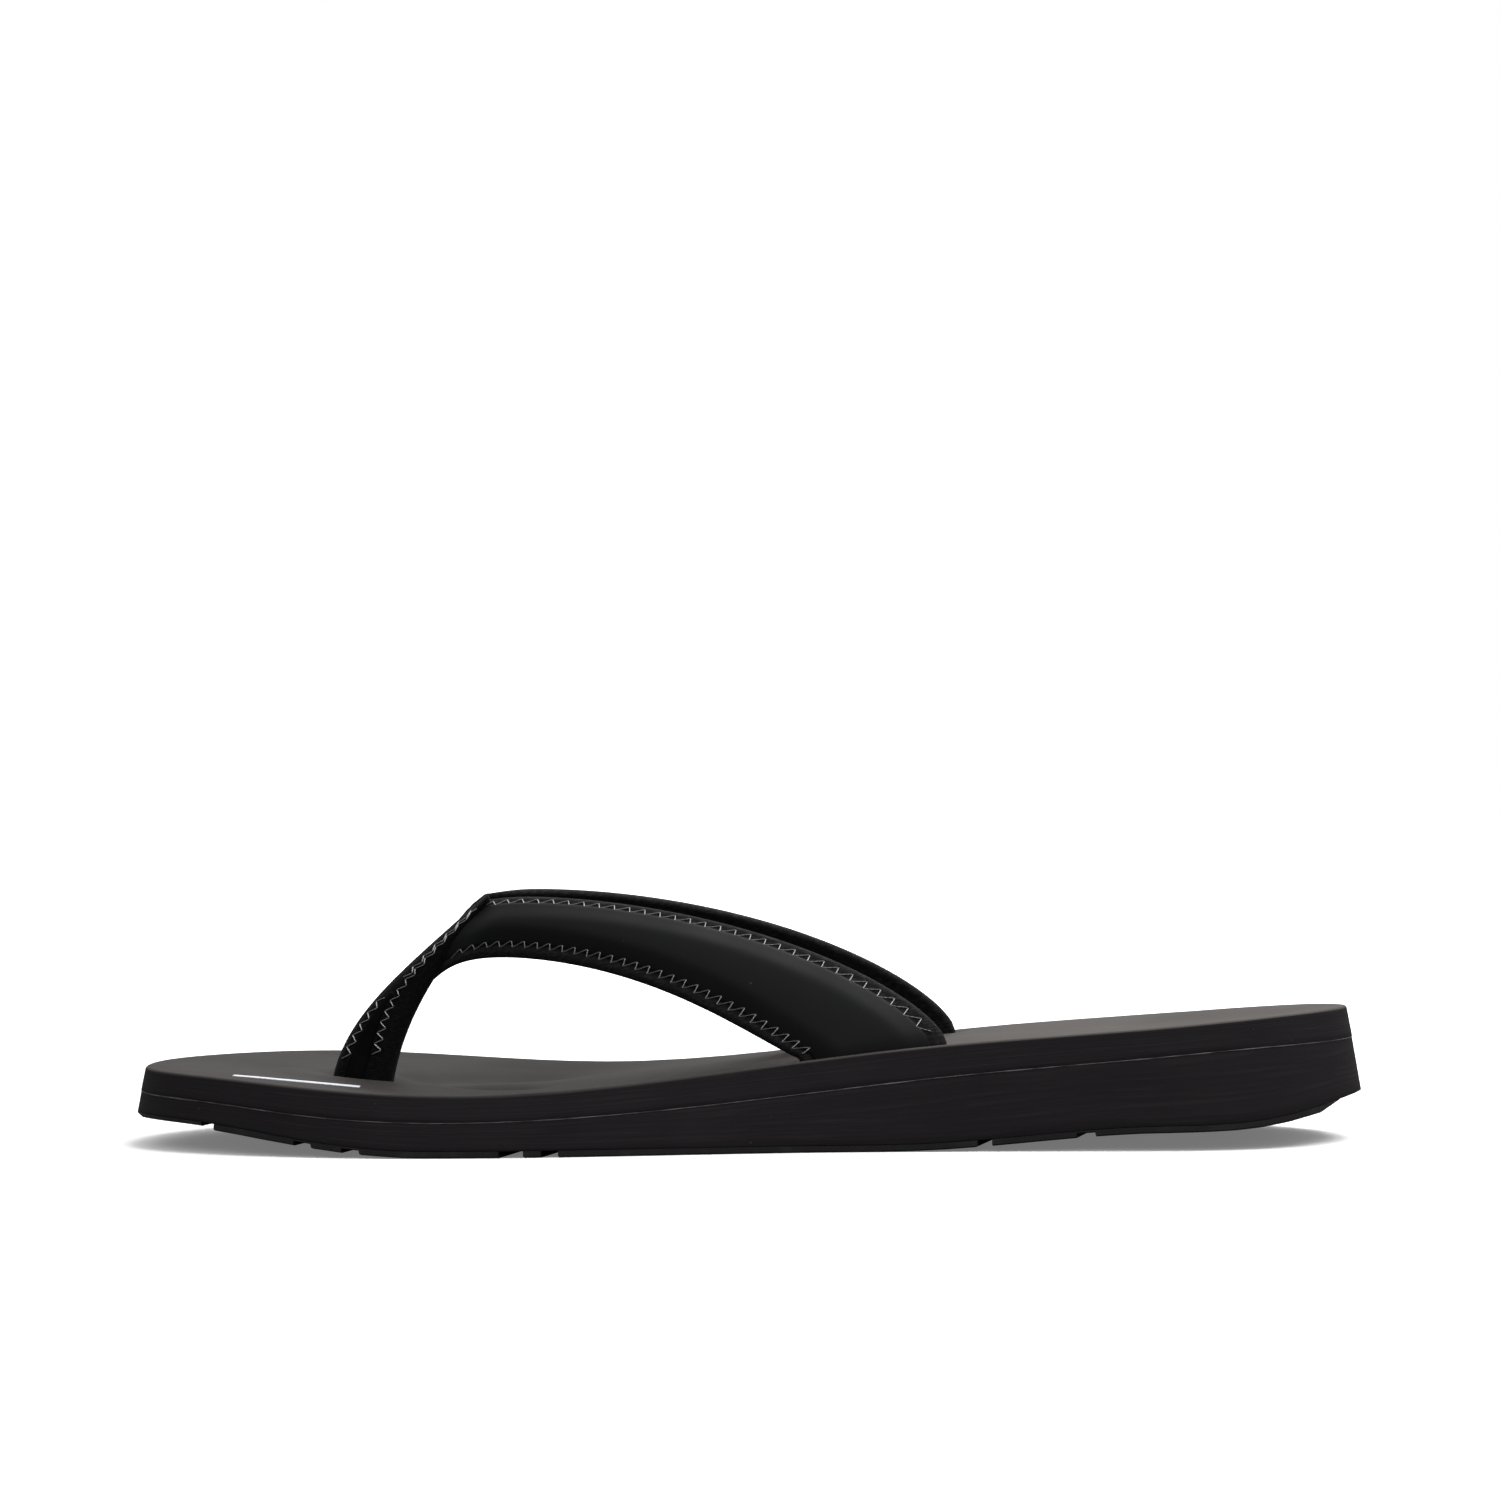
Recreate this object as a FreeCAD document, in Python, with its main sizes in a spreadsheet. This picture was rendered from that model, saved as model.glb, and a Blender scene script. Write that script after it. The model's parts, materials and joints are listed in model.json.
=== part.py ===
"""A right-foot thong sandal (flip flop): a foam sole in two layers on rubber pods, and a padded Y-strap.

Millimetres. +X runs from the toe to the heel, -Y is the inner (medial) side of the foot and +Z is up.
The origin is on the ground, under the middle of the sole.

The ball line of a foot runs obliquely, further back on its outer side. So the heights of the sole are set
along the "trace": the x at which a line parallel to the ball line crosses y = 0.

Each foam layer is one piece on the real sandal. Here it is cut at the ball line, where the sole bends.
"""

import FreeCAD, Part
import math
import os
from FreeCAD import Vector

doc = FreeCAD.newDocument("FlipFlop")
sheet = doc.addObject("Spreadsheet::Sheet", "Sizes")

# Driving dimensions: name, value in millimetres or degrees, what it is.
DIMENSIONS = [
    ("sole_length", 288.0, "toe to heel, at the height of the outline"),
    ("outline_height", 9.5, "ground to the height that the plan outline is given at"),
    ("skew_angle", 15.6, "turn of the ball line from square across the sole"),
    ("wall_lean", 0.17, "how far the side wall leans in for each mm of height"),
    ("contact_front", 85.0, "toe end to the front of the flat that meets the ground"),
    ("contact_rear", 105.0, "heel end to the rear of the flat that meets the ground"),
    ("flex_from_toe", 103.25, "toe end to the line where the sole bends"),
    ("outsole_thickness", 1.5, "rubber pods"),
    ("toe_pod_thickness", 0.9, "the thinner pod under the toes"),
    ("toe_pod_front", 4.0, "toe end to the front of the toe pod"),
    ("toe_pod_length", 26.0, "toe pod along the trace"),
    ("forefoot_pod_front", 32.75, "toe end to the front of the forefoot pod"),
    ("flex_gap", 5.0, "gap between the pods at the line where the sole bends"),
    ("ball_pod_length", 4.5, "narrow pod behind that line"),
    ("pod_gap", 3.0, "gap between the other pods"),
    ("heel_pod_front", 80.0, "heel end to the front of the heel pod"),
    ("heel_pod_rear", 6.0, "heel end to the rear of the heel pod"),
    ("groove_width", 4.0, "cross grooves in the pods"),
    ("groove_depth", 1.0, "cross grooves in the pods"),
    ("front_groove", 53.75, "toe end to the first cross groove"),
    ("second_groove", 65.25, "toe end to the second cross groove"),
    ("heel_groove", 60.5, "heel end to the cross groove of the heel pod"),
    ("lining_thickness", 0.8, "jersey lining of the strap"),
    ("foam_thickness", 1.9, "padding of the strap"),
    ("panel_thickness", 0.9, "smooth outer panel of the strap"),
    ("panel_lower_share", 0.25, "share of the strap's tapering width left bare under the panel"),
    ("panel_upper_share", 0.19, "share of the strap's tapering width left bare over the panel"),
    ("strap_camber", 0.9, "outward bow of the strap across its width"),
    ("slot_inset", 4.2, "rim of the footbed to the outer face of the strap"),
    ("fit_clearance", 0.2, "round a strap or the post in the footbed, and round a tab"),
    ("tab_thickness", 1.6, "webbing tabs glued between the foam layers"),
    ("tab_reach", 17.0, "how far a strap's tab runs in towards the middle of the sole"),
    ("post_from_toe", 53.75, "toe end to the middle of the toe post"),
    ("post_across", -14.0, "toe post across the sole"),
    ("post_length", 13.6, "toe post fore and aft, at the footbed"),
    ("post_thickness", 6.4, "toe post from side to side, at the footbed"),
    ("post_waist", 7.8, "toe post at its narrowest"),
    ("post_bulge", 22.0, "how high the toe post stands before it leans back to the junction"),
    ("webbing_width", 5.0, "webbing inside the toe post"),
    ("webbing_thickness", 1.8, "webbing inside the toe post"),
    ("anchor_diameter", 24.0, "disc that holds the toe post between the foam layers"),
    ("junction_from_toe", 78.75, "toe end to the middle of the junction of the straps"),
    ("junction_across", -8.5, "junction across the sole"),
    ("junction_height", 49.5, "ground to the middle of the junction"),
    ("junction_length", 16.4, "junction from its front edge to its rear edge"),
    ("junction_thickness", 9.0, "junction from side to side"),
    ("junction_tilt", 104.0, "turn of the junction's section from level"),
    ("junction_gap", 0.3, "between the junction and a strap sewn to it"),
    ("strap_spread", 1.2, "how far the straps' lower edges start from the middle of the junction"),
    ("mark_length", 29.0, "plain printed bar on the footbed"),
    ("mark_width", 3.5, "plain printed bar on the footbed"),
    ("mark_thickness", 0.2, "plain printed bar on the footbed"),
    ("mark_from_toe", 38.75, "toe end to the middle of the printed bar"),
    ("mark_across", -33.0, "printed bar across the sole"),
]

# Plan outline, from the toe tip along the inner side to the heel, then back on the outer side:
# name, the end it is measured from, distance from that end, distance across.
OUTLINE = [
    ("tip", "toe", 0.0, -14.0),
    ("great_toe", "toe", 7.0, -33.0),
    ("inner_toes", "toe", 25.0, -44.2),
    ("inner_ball", "toe", 79.75, -51.4),
    ("inner_arch", "heel", 132.0, -38.7),
    ("inner_seat", "heel", 62.0, -36.1),
    ("inner_heel", "heel", 19.0, -28.4),
    ("back", "heel", 0.0, -2.0),
    ("outer_heel", "heel", 18.0, 26.0),
    ("outer_seat", "heel", 60.0, 36.0),
    ("outer_arch", "heel", 128.0, 42.2),
    ("outer_ball", "toe", 92.75, 51.4),
    ("outer_toes", "toe", 40.75, 40.6),
    ("small_toes", "toe", 13.0, 19.6),
]

# Side view of the sole, on the trace: name, the end it is measured from, distance from that end,
# height of the tread, lower layer with its rubber, footbed.
PROFILE = [
    ("nose", "toe", 0.0, 6.2, 6.3, 5.6),
    ("toes", "toe", 29.75, 5.6, 6.1, 5.7),
    ("tread", "toe", 59.75, 1.75, 7.15, 6.3),
    ("ball", "toe", 92.75, 0.0, 7.8, 6.0),
    ("arch", "heel", 125.0, 0.0, 12.9, 7.4),
    ("waist", "heel", 90.0, 0.5, 16.4, 7.3),
    ("seat", "heel", 45.0, 4.0, 16.9, 6.8),
    ("counter", "heel", 15.0, 5.7, 17.7, 7.0),
    ("rear", "heel", 0.0, 9.6, 14.4, 7.5),
]

# Side straps: name, side (-1 inner, 1 outer), heel end to the front of the slot, slot length,
# crest of the lower edge, crest of the upper edge.
STRAPS = [
    ("medial", -1, 134.0, 34.0, 43.3, 57.2),
    ("lateral", 1, 130.0, 35.0, 44.4, 58.4),
]

TOOL_REACH = 110.0  # half the width of a slab, past both side walls
ZONE_REACH = 220.0  # half the width of a zone, which runs askew and has to pass both walls at both its ends
TOOL_HEIGHT = 120.0
OVERRUN = 10.0  # how far a tool runs past the face that it cuts
BLANK_TOP = 45.0
STRAP_STATIONS = [0.0, 0.12, 0.25, 0.4, 0.55, 0.7, 0.82, 0.91, 0.97, 1.0]
POST_STATIONS = [0.0, 0.15, 0.3, 0.45, 0.6, 0.75, 0.88, 1.0]
LOWER_EDGE_ARC = (2.3, 1.1)  # exponents of an edge's arc: how late it falls, and how steeply it ends
UPPER_EDGE_ARC = (2.0, 0.7)
KNEE_ALONG = 0.2  # shares of the way from the post's foot to the junction at which it bends
KNEE_ACROSS = 0.4
POST_LEAN = 1.7  # exponent of the post's turn along its length: it starts late


# ---------------------------------------------------------------------------------------------------
# Spreadsheet
# ---------------------------------------------------------------------------------------------------
def sheet_rows():
    """Every driving dimension: its name, value and note."""
    rows = list(DIMENSIONS)
    for name, end, along, across in OUTLINE:
        rows.append((name + "_along", along, "plan outline, from the " + end + " end"))
        rows.append((name + "_across", across, "plan outline, across the sole"))
    for name, end, along, tread, lower, upper in PROFILE:
        rows.append((name + "_station", along, "side view, from the " + end + " end"))
        rows.append((name + "_tread", tread, "height of the tread"))
        rows.append((name + "_lower", lower, "lower layer with its rubber"))
        rows.append((name + "_upper", upper, "footbed"))
    for name, _side, slot_front, slot_length, lower_crest, upper_crest in STRAPS:
        rows.append((name + "_slot_front", slot_front, "heel end to the front of the slot"))
        rows.append((name + "_slot_length", slot_length, "slot in the footbed"))
        rows.append((name + "_lower_crest", lower_crest, "top of the strap's lower edge"))
        rows.append((name + "_upper_crest", upper_crest, "top of the strap's upper edge"))
    return rows


def fill_sheet():
    """Writes the dimensions into the spreadsheet, each with its name as the alias of its cell."""
    for number, (name, value, note) in enumerate(sheet_rows(), start=1):
        sheet.set("A%d" % number, name)
        sheet.set("B%d" % number, str(value))
        sheet.set("C%d" % number, note)
        sheet.setAlias("B%d" % number, name)
    doc.recompute()


def size(name):
    """The value of a cell, by its alias."""
    return float(getattr(sheet, name))


def skew():
    """How far the trace lines run back for each mm towards the outer side."""
    return math.tan(math.radians(size("skew_angle")))


def from_end(end, distance):
    """The x of a place that is given by its distance from the toe end or the heel end."""
    half = size("sole_length") / 2
    return distance - half if end == "toe" else half - distance


def toe(name):
    """An expression for the x of a place measured from the toe end."""
    return "(Sizes.%s - Sizes.sole_length / 2)" % name


def heel(name):
    """An expression for the x of a place measured from the heel end."""
    return "(Sizes.sole_length / 2 - Sizes.%s)" % name


# ---------------------------------------------------------------------------------------------------
# Document helpers
# ---------------------------------------------------------------------------------------------------
def add(name, shape):
    """A feature with a free-form shape."""
    feature = doc.addObject("Part::Feature", name)
    feature.Shape = shape
    return feature


def cut(name, base, tool):
    """The base without the tool."""
    feature = doc.addObject("Part::Cut", name)
    feature.Base = base
    feature.Tool = tool
    return feature


def common(name, *objects):
    """What all the objects share."""
    feature = doc.addObject("Part::MultiCommon", name)
    feature.Shapes = list(objects)
    return feature


def united(name, *objects):
    """All the objects together."""
    feature = doc.addObject("Part::MultiFuse", name)
    feature.Shapes = list(objects)
    return feature


def zone(name, front, rear):
    """A tall box between two places of the trace, given as expressions, turned along the ball line."""
    box = doc.addObject("Part::Box", name)
    box.Placement.Rotation = FreeCAD.Rotation(Vector(0, 0, -1), 1)
    box.setExpression("Length", "(%s - %s) * cos(Sizes.skew_angle)" % (rear, front))
    box.Width = 2 * ZONE_REACH
    box.Height = TOOL_HEIGHT
    box.setExpression("Placement.Rotation.Angle", "Sizes.skew_angle")
    box.setExpression("Placement.Base.x", "%s - %f * sin(Sizes.skew_angle)" % (front, ZONE_REACH))
    box.setExpression("Placement.Base.y", "-%f * cos(Sizes.skew_angle)" % ZONE_REACH)
    box.Placement.Base.z = -OVERRUN
    return box


# ---------------------------------------------------------------------------------------------------
# Levels of the sole
# ---------------------------------------------------------------------------------------------------
def level_points(layers, lift):
    """Points along the trace at the tread (0 layers), the glue line (1) or the footbed (2)."""
    points = []
    for name, end, *_ in PROFILE:
        height = size(name + "_tread") + lift
        if layers > 0:
            height += size(name + "_lower")
        if layers > 1:
            height += size(name + "_upper")
        points.append(Vector(from_end(end, size(name + "_station")), 0, height))
    reach = OVERRUN + skew() * TOOL_REACH
    front_run = points[1] - points[0]
    rear_run = points[-1] - points[-2]
    points.insert(0, points[0] - front_run * (reach / front_run.x))
    points.append(points[-1] + Vector(reach, 0, reach * rear_run.z / rear_run.x))
    return points


def level_curve(layers, lift=0.0):
    """The glue line or the footbed's surface as one smooth curve along the trace."""
    curve = Part.BSplineCurve()
    curve.interpolate(level_points(layers, lift))
    return curve


def level_height(layers, x, y):
    """The height of the glue line or the footbed's surface at a place."""
    trace = x - skew() * y
    curve = level_curve(layers)
    upright = Part.makeLine(Vector(trace, 0, -TOOL_HEIGHT), Vector(trace, 0, TOOL_HEIGHT))
    return curve.toShape().distToShape(upright)[1][0][0].z


def tread_edges(lift):
    """The underside: a curve up to the toe, the flat that meets the ground and a curve up to the heel."""
    front = Vector(from_end("toe", size("contact_front")), 0, lift)
    rear = Vector(from_end("heel", size("contact_rear")), 0, lift)
    points = level_points(0, lift)
    toe_side = Part.BSplineCurve()
    toe_side.interpolate([p for p in points if p.x < front.x] + [front])
    heel_side = Part.BSplineCurve()
    heel_side.interpolate([rear] + [p for p in points if p.x > rear.x])
    return [toe_side.toShape(), Part.makeLine(front, rear), heel_side.toShape()]


def level_edges(layers, lift=0.0):
    """The edges of a level, from the toe to the heel."""
    if layers == 0:
        return tread_edges(lift)
    return [level_curve(layers, lift).toShape()]


def slab(name, lower_edges, upper_edges):
    """All that lies between two levels, run across the sole along the ball line."""
    lower = Part.Wire(lower_edges)
    upper = Part.Wire(upper_edges)
    ends = []
    for pick in (min, max):
        low = pick(lower.Vertexes, key=lambda vertex: vertex.X).Point
        high = pick(upper.Vertexes, key=lambda vertex: vertex.X).Point
        ends.append(Part.makeLine(low, high))
    wire = Part.Wire(Part.__sortEdges__(lower_edges + upper_edges + ends))
    profile = add(name + "Profile", Part.Face(wire))
    solid = doc.addObject("Part::Extrusion", name)
    solid.Base = profile
    solid.DirMode = "Custom"
    solid.Dir = Vector(skew(), 1, 0)
    solid.Symmetric = True
    solid.setExpression("LengthFwd", "%f / cos(Sizes.skew_angle)" % (2 * TOOL_REACH))
    solid.Solid = True
    return solid


# ---------------------------------------------------------------------------------------------------
# Plan of the sole
# ---------------------------------------------------------------------------------------------------
def outline_curve(z):
    """The plan outline as one closed curve, moved in as the wall leans, at a height."""
    inset = size("wall_lean") * (z - size("outline_height"))
    points = []
    for name, end, *_ in OUTLINE:
        points.append(Vector(from_end(end, size(name + "_along")), size(name + "_across"), 0))
    curve = Part.BSplineCurve()
    curve.interpolate(Points=points, PeriodicFlag=True)
    moved = []
    for point in points:
        tangent = curve.tangent(curve.parameter(point))[0]
        moved.append(point + Vector(-tangent.y, tangent.x, 0) * inset + Vector(0, 0, z))
    inner = Part.BSplineCurve()
    inner.interpolate(Points=moved, PeriodicFlag=True)
    return inner


def sole_blank():
    """The sole's leaning side wall, as a solid taller than the sole."""
    bottom = Part.Wire([outline_curve(-OVERRUN).toShape()])
    top = Part.Wire([outline_curve(BLANK_TOP).toShape()])
    return add("SoleBlank", Part.makeLoft([bottom, top], True, True))


def rim_across(side, x, z):
    """Where the side wall stands at an x and a height, on the inner side (-1) or the outer side (1)."""
    wall = outline_curve(z).toShape()
    ray = Part.makeLine(Vector(x, 0, z), Vector(x, side * TOOL_REACH, z))
    return wall.distToShape(ray)[1][0][0].y


# ---------------------------------------------------------------------------------------------------
# Straps
# ---------------------------------------------------------------------------------------------------
class Strap:
    """One side strap: a band between a lower and an upper edge, from the junction to its slot."""

    def __init__(self, name, side):
        self.name = name
        self.side = side
        self.thickness = size("lining_thickness") + size("foam_thickness") + size("panel_thickness")
        front = from_end("heel", size(name + "_slot_front"))
        self.lower_end = self.slot_end(front)
        self.upper_end = self.slot_end(front + size(name + "_slot_length"))
        middle = Vector(from_end("toe", size("junction_from_toe")), size("junction_across"), 0)
        tilt = math.radians(size("junction_tilt"))
        half = Vector(math.cos(tilt), 0, -math.sin(tilt)) * (size("junction_length") / 2)
        self.lower_start = middle + half + Vector(0, side * size("strap_spread"), 0)
        self.upper_start = middle - half + Vector(0, side * size("junction_gap"), 0)

    def slot_end(self, x):
        """An end of the slot: on the footbed, inside the rim by the inset and the strap's thickness."""
        near_rim = self.side * size("sole_length") / 8
        height = level_height(2, x, near_rim)
        rim = rim_across(self.side, x, height)
        return Vector(x, rim - self.side * (size("slot_inset") + self.thickness), height)

    def edge(self, start, end, crest, arc, share):
        """A point of an edge: it leaves the junction level and comes down to the slot."""
        late, steep = arc
        place = start + (end - start) * share
        place.z = end.z + (crest - end.z) * (1 - share ** late) ** steep
        return place

    def edges(self, share):
        """The points of the lower and the upper edge at a share of the strap's length."""
        lower_crest = size(self.name + "_lower_crest")
        upper_crest = size(self.name + "_upper_crest")
        lower = self.edge(self.lower_start, self.lower_end, lower_crest, LOWER_EDGE_ARC, share)
        upper = self.edge(self.upper_start, self.upper_end, upper_crest, UPPER_EDGE_ARC, share)
        return lower, upper

    def outward(self, share):
        """The direction out of the strap, away from the foot."""
        lower, upper = self.edges(share)
        if share >= 1.0:
            along = Vector(0, 0, -1)
        else:
            behind = sum(self.edges(max(share - 0.01, 0.0)), Vector())
            ahead = sum(self.edges(min(share + 0.01, 1.0)), Vector())
            along = ahead - behind
        normal = (upper - lower).cross(along).normalize()
        return normal if normal.y * self.side > 0 else normal * -1

    def section(self, share, inner, outer, low=0.0, high=1.0, extra=0.0):
        """The closed section of one layer, between two heights over the strap's inner face.

        It runs from the share low to the share high of the strap's width, and further by the extra.
        """
        lower, upper = self.edges(share)
        normal = self.outward(share)
        sideways = (upper - lower).normalize() * extra
        middle = (lower + upper) / 2 + normal * size("strap_camber")

        def arc(height, begin, end):
            lift = normal * height
            whole = Part.Arc(lower - sideways + lift, middle + lift, upper + sideways + lift)
            first, last = whole.FirstParameter, whole.LastParameter
            parts = (begin, (begin + end) / 2, end)
            return Part.Arc(*[whole.value(first + (last - first) * part) for part in parts])

        inner_arc = arc(inner, low, high)
        outer_arc = arc(outer, high, low)
        return Part.Wire([
            inner_arc.toShape(),
            Part.makeLine(inner_arc.EndPoint, outer_arc.StartPoint),
            outer_arc.toShape(),
            Part.makeLine(outer_arc.EndPoint, inner_arc.StartPoint),
        ])

    def layer(self, inner, outer, low=0.0, high=1.0):
        """A layer of the strap as a solid, run down through the footbed."""
        band = Part.makeLoft([self.section(share, inner, outer, low, high) for share in STRAP_STATIONS], True)
        return band.fuse(self.root(self.section(1.0, inner, outer, low, high)))

    def root(self, wire):
        """The upright stretch of a section in the footbed."""
        return Part.Face(wire).extrude(Vector(0, 0, -2 * OVERRUN))

    def slot(self, clearance):
        """The room that the strap needs in the footbed."""
        wire = self.section(1.0, -clearance, self.thickness + clearance, extra=clearance)
        return self.root(wire).translated(Vector(0, 0, OVERRUN / 2))


# ---------------------------------------------------------------------------------------------------
# Toe post
# ---------------------------------------------------------------------------------------------------
class Post:
    """The toe post: a blade that stands in the footbed and leans back to the junction of the straps."""

    def __init__(self):
        x, y = from_end("toe", size("post_from_toe")), size("post_across")
        self.foot = Vector(x, y, level_height(2, x, y))
        self.head = Vector(
            from_end("toe", size("junction_from_toe")), size("junction_across"), size("junction_height")
        )
        self.knee = Vector(
            x + (self.head.x - x) * KNEE_ALONG,
            y + (self.head.y - y) * KNEE_ACROSS,
            self.foot.z + size("post_bulge"),
        )

    def middle(self, share):
        """The middle line, from the footbed (0) to the junction (1)."""
        rest = 1 - share
        return self.foot * rest ** 2 + self.knee * (2 * rest * share) + self.head * share ** 2

    def length(self, share):
        """The fore-and-aft size: it narrows to the waist and spreads into the junction."""
        waist = size("post_waist")
        ends = size("post_length") * (1 - share) ** 2 + size("junction_length") * share ** 5
        return max(waist, ends + waist * (2 * share * (1 - share)) + waist * (share ** 2 - share ** 5))

    def section(self, share, length, thickness, drop=0.0):
        """A closed section with rounded front and rear ends, turned as the post leans."""
        tilt = math.radians(size("junction_tilt")) * share ** POST_LEAN
        ahead = Vector(-math.cos(tilt), 0, math.sin(tilt))
        sideways = Vector(0, thickness / 2, 0)
        centre = self.middle(share) - Vector(0, 0, drop)
        front = centre + ahead * ((length - thickness) / 2)
        rear = centre - ahead * ((length - thickness) / 2)
        nose = ahead * (thickness / 2)
        return Part.Wire([
            Part.makeLine(front + sideways, rear + sideways),
            Part.Arc(rear + sideways, rear - nose, rear - sideways).toShape(),
            Part.makeLine(rear - sideways, front - sideways),
            Part.Arc(front - sideways, front + nose, front + sideways).toShape(),
        ])

    def blade(self, extra=0.0):
        """The whole post with some extra all round, from under the footbed to the junction."""
        sections = []
        for share in POST_STATIONS:
            wide = size("post_thickness") * (1 - share) + size("junction_thickness") * share
            sections.append(self.section(share, self.length(share) + 2 * extra, wide + 2 * extra))
        return Part.makeLoft(sections, True, False).fuse(self.root(extra))

    def root(self, extra=0.0):
        """The upright stretch in the footbed."""
        length, thickness = size("post_length") + 2 * extra, size("post_thickness") + 2 * extra
        wire = self.section(0.0, length, thickness, 2 * OVERRUN)
        return Part.Face(wire).extrude(Vector(0, 0, 2 * OVERRUN))

    def webbing(self):
        """The webbing inside: a flat band on the post's middle line."""
        width, thickness = size("webbing_width"), size("webbing_thickness")
        sections = [self.band(0.0, width, thickness, 2 * OVERRUN)]
        sections += [self.band(share, width, thickness, 0.0) for share in POST_STATIONS[:-1]]
        return Part.makeLoft(sections, True, True)

    def band(self, share, width, thickness, drop):
        """A rectangular section of the webbing."""
        tilt = math.radians(size("junction_tilt")) * share ** POST_LEAN
        ahead = Vector(-math.cos(tilt), 0, math.sin(tilt)) * (width / 2)
        sideways = Vector(0, thickness / 2, 0)
        centre = self.middle(share) - Vector(0, 0, drop)
        corners = [ahead + sideways, sideways - ahead, ahead * -1 - sideways, ahead - sideways]
        corners = [centre + corner for corner in corners]
        return Part.makePolygon(corners + corners[:1])


# ---------------------------------------------------------------------------------------------------
# Sub-parts
# ---------------------------------------------------------------------------------------------------
nodes = {}


def node(name, feature):
    """Labels a feature as a finished sub-part."""
    feature.Label = name
    nodes[name] = feature
    return feature


def tab_plan(name, strap, extra):
    """A tall box over a strap's tab, with some extra all round."""
    reach = size("tab_reach") + 2 * extra
    outer = min(abs(strap.lower_end.y), abs(strap.upper_end.y)) + strap.thickness + extra
    length = strap.upper_end.x - strap.lower_end.x + 2 * extra
    y = -outer if strap.side < 0 else outer - reach
    corner = Vector(strap.lower_end.x - extra, y, -OVERRUN)
    return add(name, Part.makeBox(length, reach, TOOL_HEIGHT, corner))


def anchor_plan(name, extra):
    """A tall cylinder over the post's anchor disc, with some extra all round."""
    cylinder = doc.addObject("Part::Cylinder", name)
    cylinder.setExpression("Radius", "Sizes.anchor_diameter / 2 + %f" % extra)
    cylinder.Height = TOOL_HEIGHT
    cylinder.setExpression("Placement.Base.x", toe("post_from_toe"))
    cylinder.setExpression("Placement.Base.y", "Sizes.post_across")
    cylinder.Placement.Base.z = -OVERRUN
    return cylinder


def make_sole(straps, post):
    """The foam layers, with the slots for the straps, the hole for the post and the tabs' recesses."""
    blank = sole_blank()
    seam = level_edges(1)
    clearance = size("fit_clearance")
    lower_layer = slab("LowerLayer", level_edges(0, size("outsole_thickness")), seam)
    upper_layer = slab("UpperLayer", seam, level_edges(2))
    tab_level = slab("TabLevel", level_edges(1, -size("tab_thickness")), seam)

    recesses = [anchor_plan("AnchorRecess", clearance)]
    openings = [add("PostHole", post.root(clearance).translated(Vector(0, 0, OVERRUN / 2)))]
    for strap in straps:
        recesses.append(tab_plan(strap.name.title() + "TabRecess", strap, clearance))
        openings.append(add(strap.name.title() + "Slot", strap.slot(clearance)))
    recess = common("Recess", tab_level, united("RecessPlan", *recesses))

    lower = cut("LowerFoam", common("LowerBlank", lower_layer, blank), recess)
    upper = cut("UpperFoam", common("UpperBlank", upper_layer, blank), united("Openings", *openings))
    front = zone("FrontZone", "(-Sizes.sole_length)", toe("flex_from_toe"))
    rear = zone("RearZone", toe("flex_from_toe"), "Sizes.sole_length")
    node("midsole_front", common("MidsoleFront", lower, front))
    node("midsole_rear", common("MidsoleRear", lower, rear))
    node("footbed_front", common("FootbedFront", upper, front))
    node("footbed_rear", common("FootbedRear", upper, rear))
    return blank, tab_level


def make_outsole(blank):
    """The rubber pods: the tread's level, cut across between them and grooved."""
    foam = level_edges(0, size("outsole_thickness"))
    rubber = common("Rubber", slab("TreadLevel", level_edges(0), foam), blank)
    thin = slab("ThinTread", level_edges(0, size("outsole_thickness") - size("toe_pod_thickness")), foam)
    grooves = []
    for name, place in (("front_groove", toe), ("second_groove", toe), ("heel_groove", heel)):
        start = place(name)
        grooves.append(zone(name.title(), start, "(%s + Sizes.groove_width)" % start))
    groove_level = slab("GrooveLevel", level_edges(0, -OVERRUN), level_edges(0, size("groove_depth")))
    groove = common("Grooves", groove_level, united("GroovePlan", *grooves))

    flex = toe("flex_from_toe")
    toe_end = "(%s + Sizes.toe_pod_length)" % toe("toe_pod_front")
    ball_front = "(%s + Sizes.flex_gap / 2)" % flex
    ball_rear = "(%s + Sizes.ball_pod_length)" % ball_front
    toe_zone = zone("ToeZone", toe("toe_pod_front"), toe_end)
    forefoot_zone = zone("ForefootZone", toe("forefoot_pod_front"), "(%s - Sizes.flex_gap / 2)" % flex)
    ball_zone = zone("BallZone", ball_front, ball_rear)
    midfoot_front = "(%s + Sizes.pod_gap)" % ball_rear
    midfoot_zone = zone("MidfootZone", midfoot_front, "(%s - Sizes.pod_gap)" % heel("heel_pod_front"))
    heel_zone = zone("HeelZone", heel("heel_pod_front"), heel("heel_pod_rear"))
    node("outsole_toe", common("OutsoleToe", thin, blank, toe_zone))
    node("outsole_forefoot", cut("OutsoleForefoot", common("ForefootPod", rubber, forefoot_zone), groove))
    node("outsole_ball", common("OutsoleBall", rubber, ball_zone))
    node("outsole_midfoot", common("OutsoleMidfoot", rubber, midfoot_zone))
    node("outsole_heel", cut("OutsoleHeel", common("HeelPod", rubber, heel_zone), groove))


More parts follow.
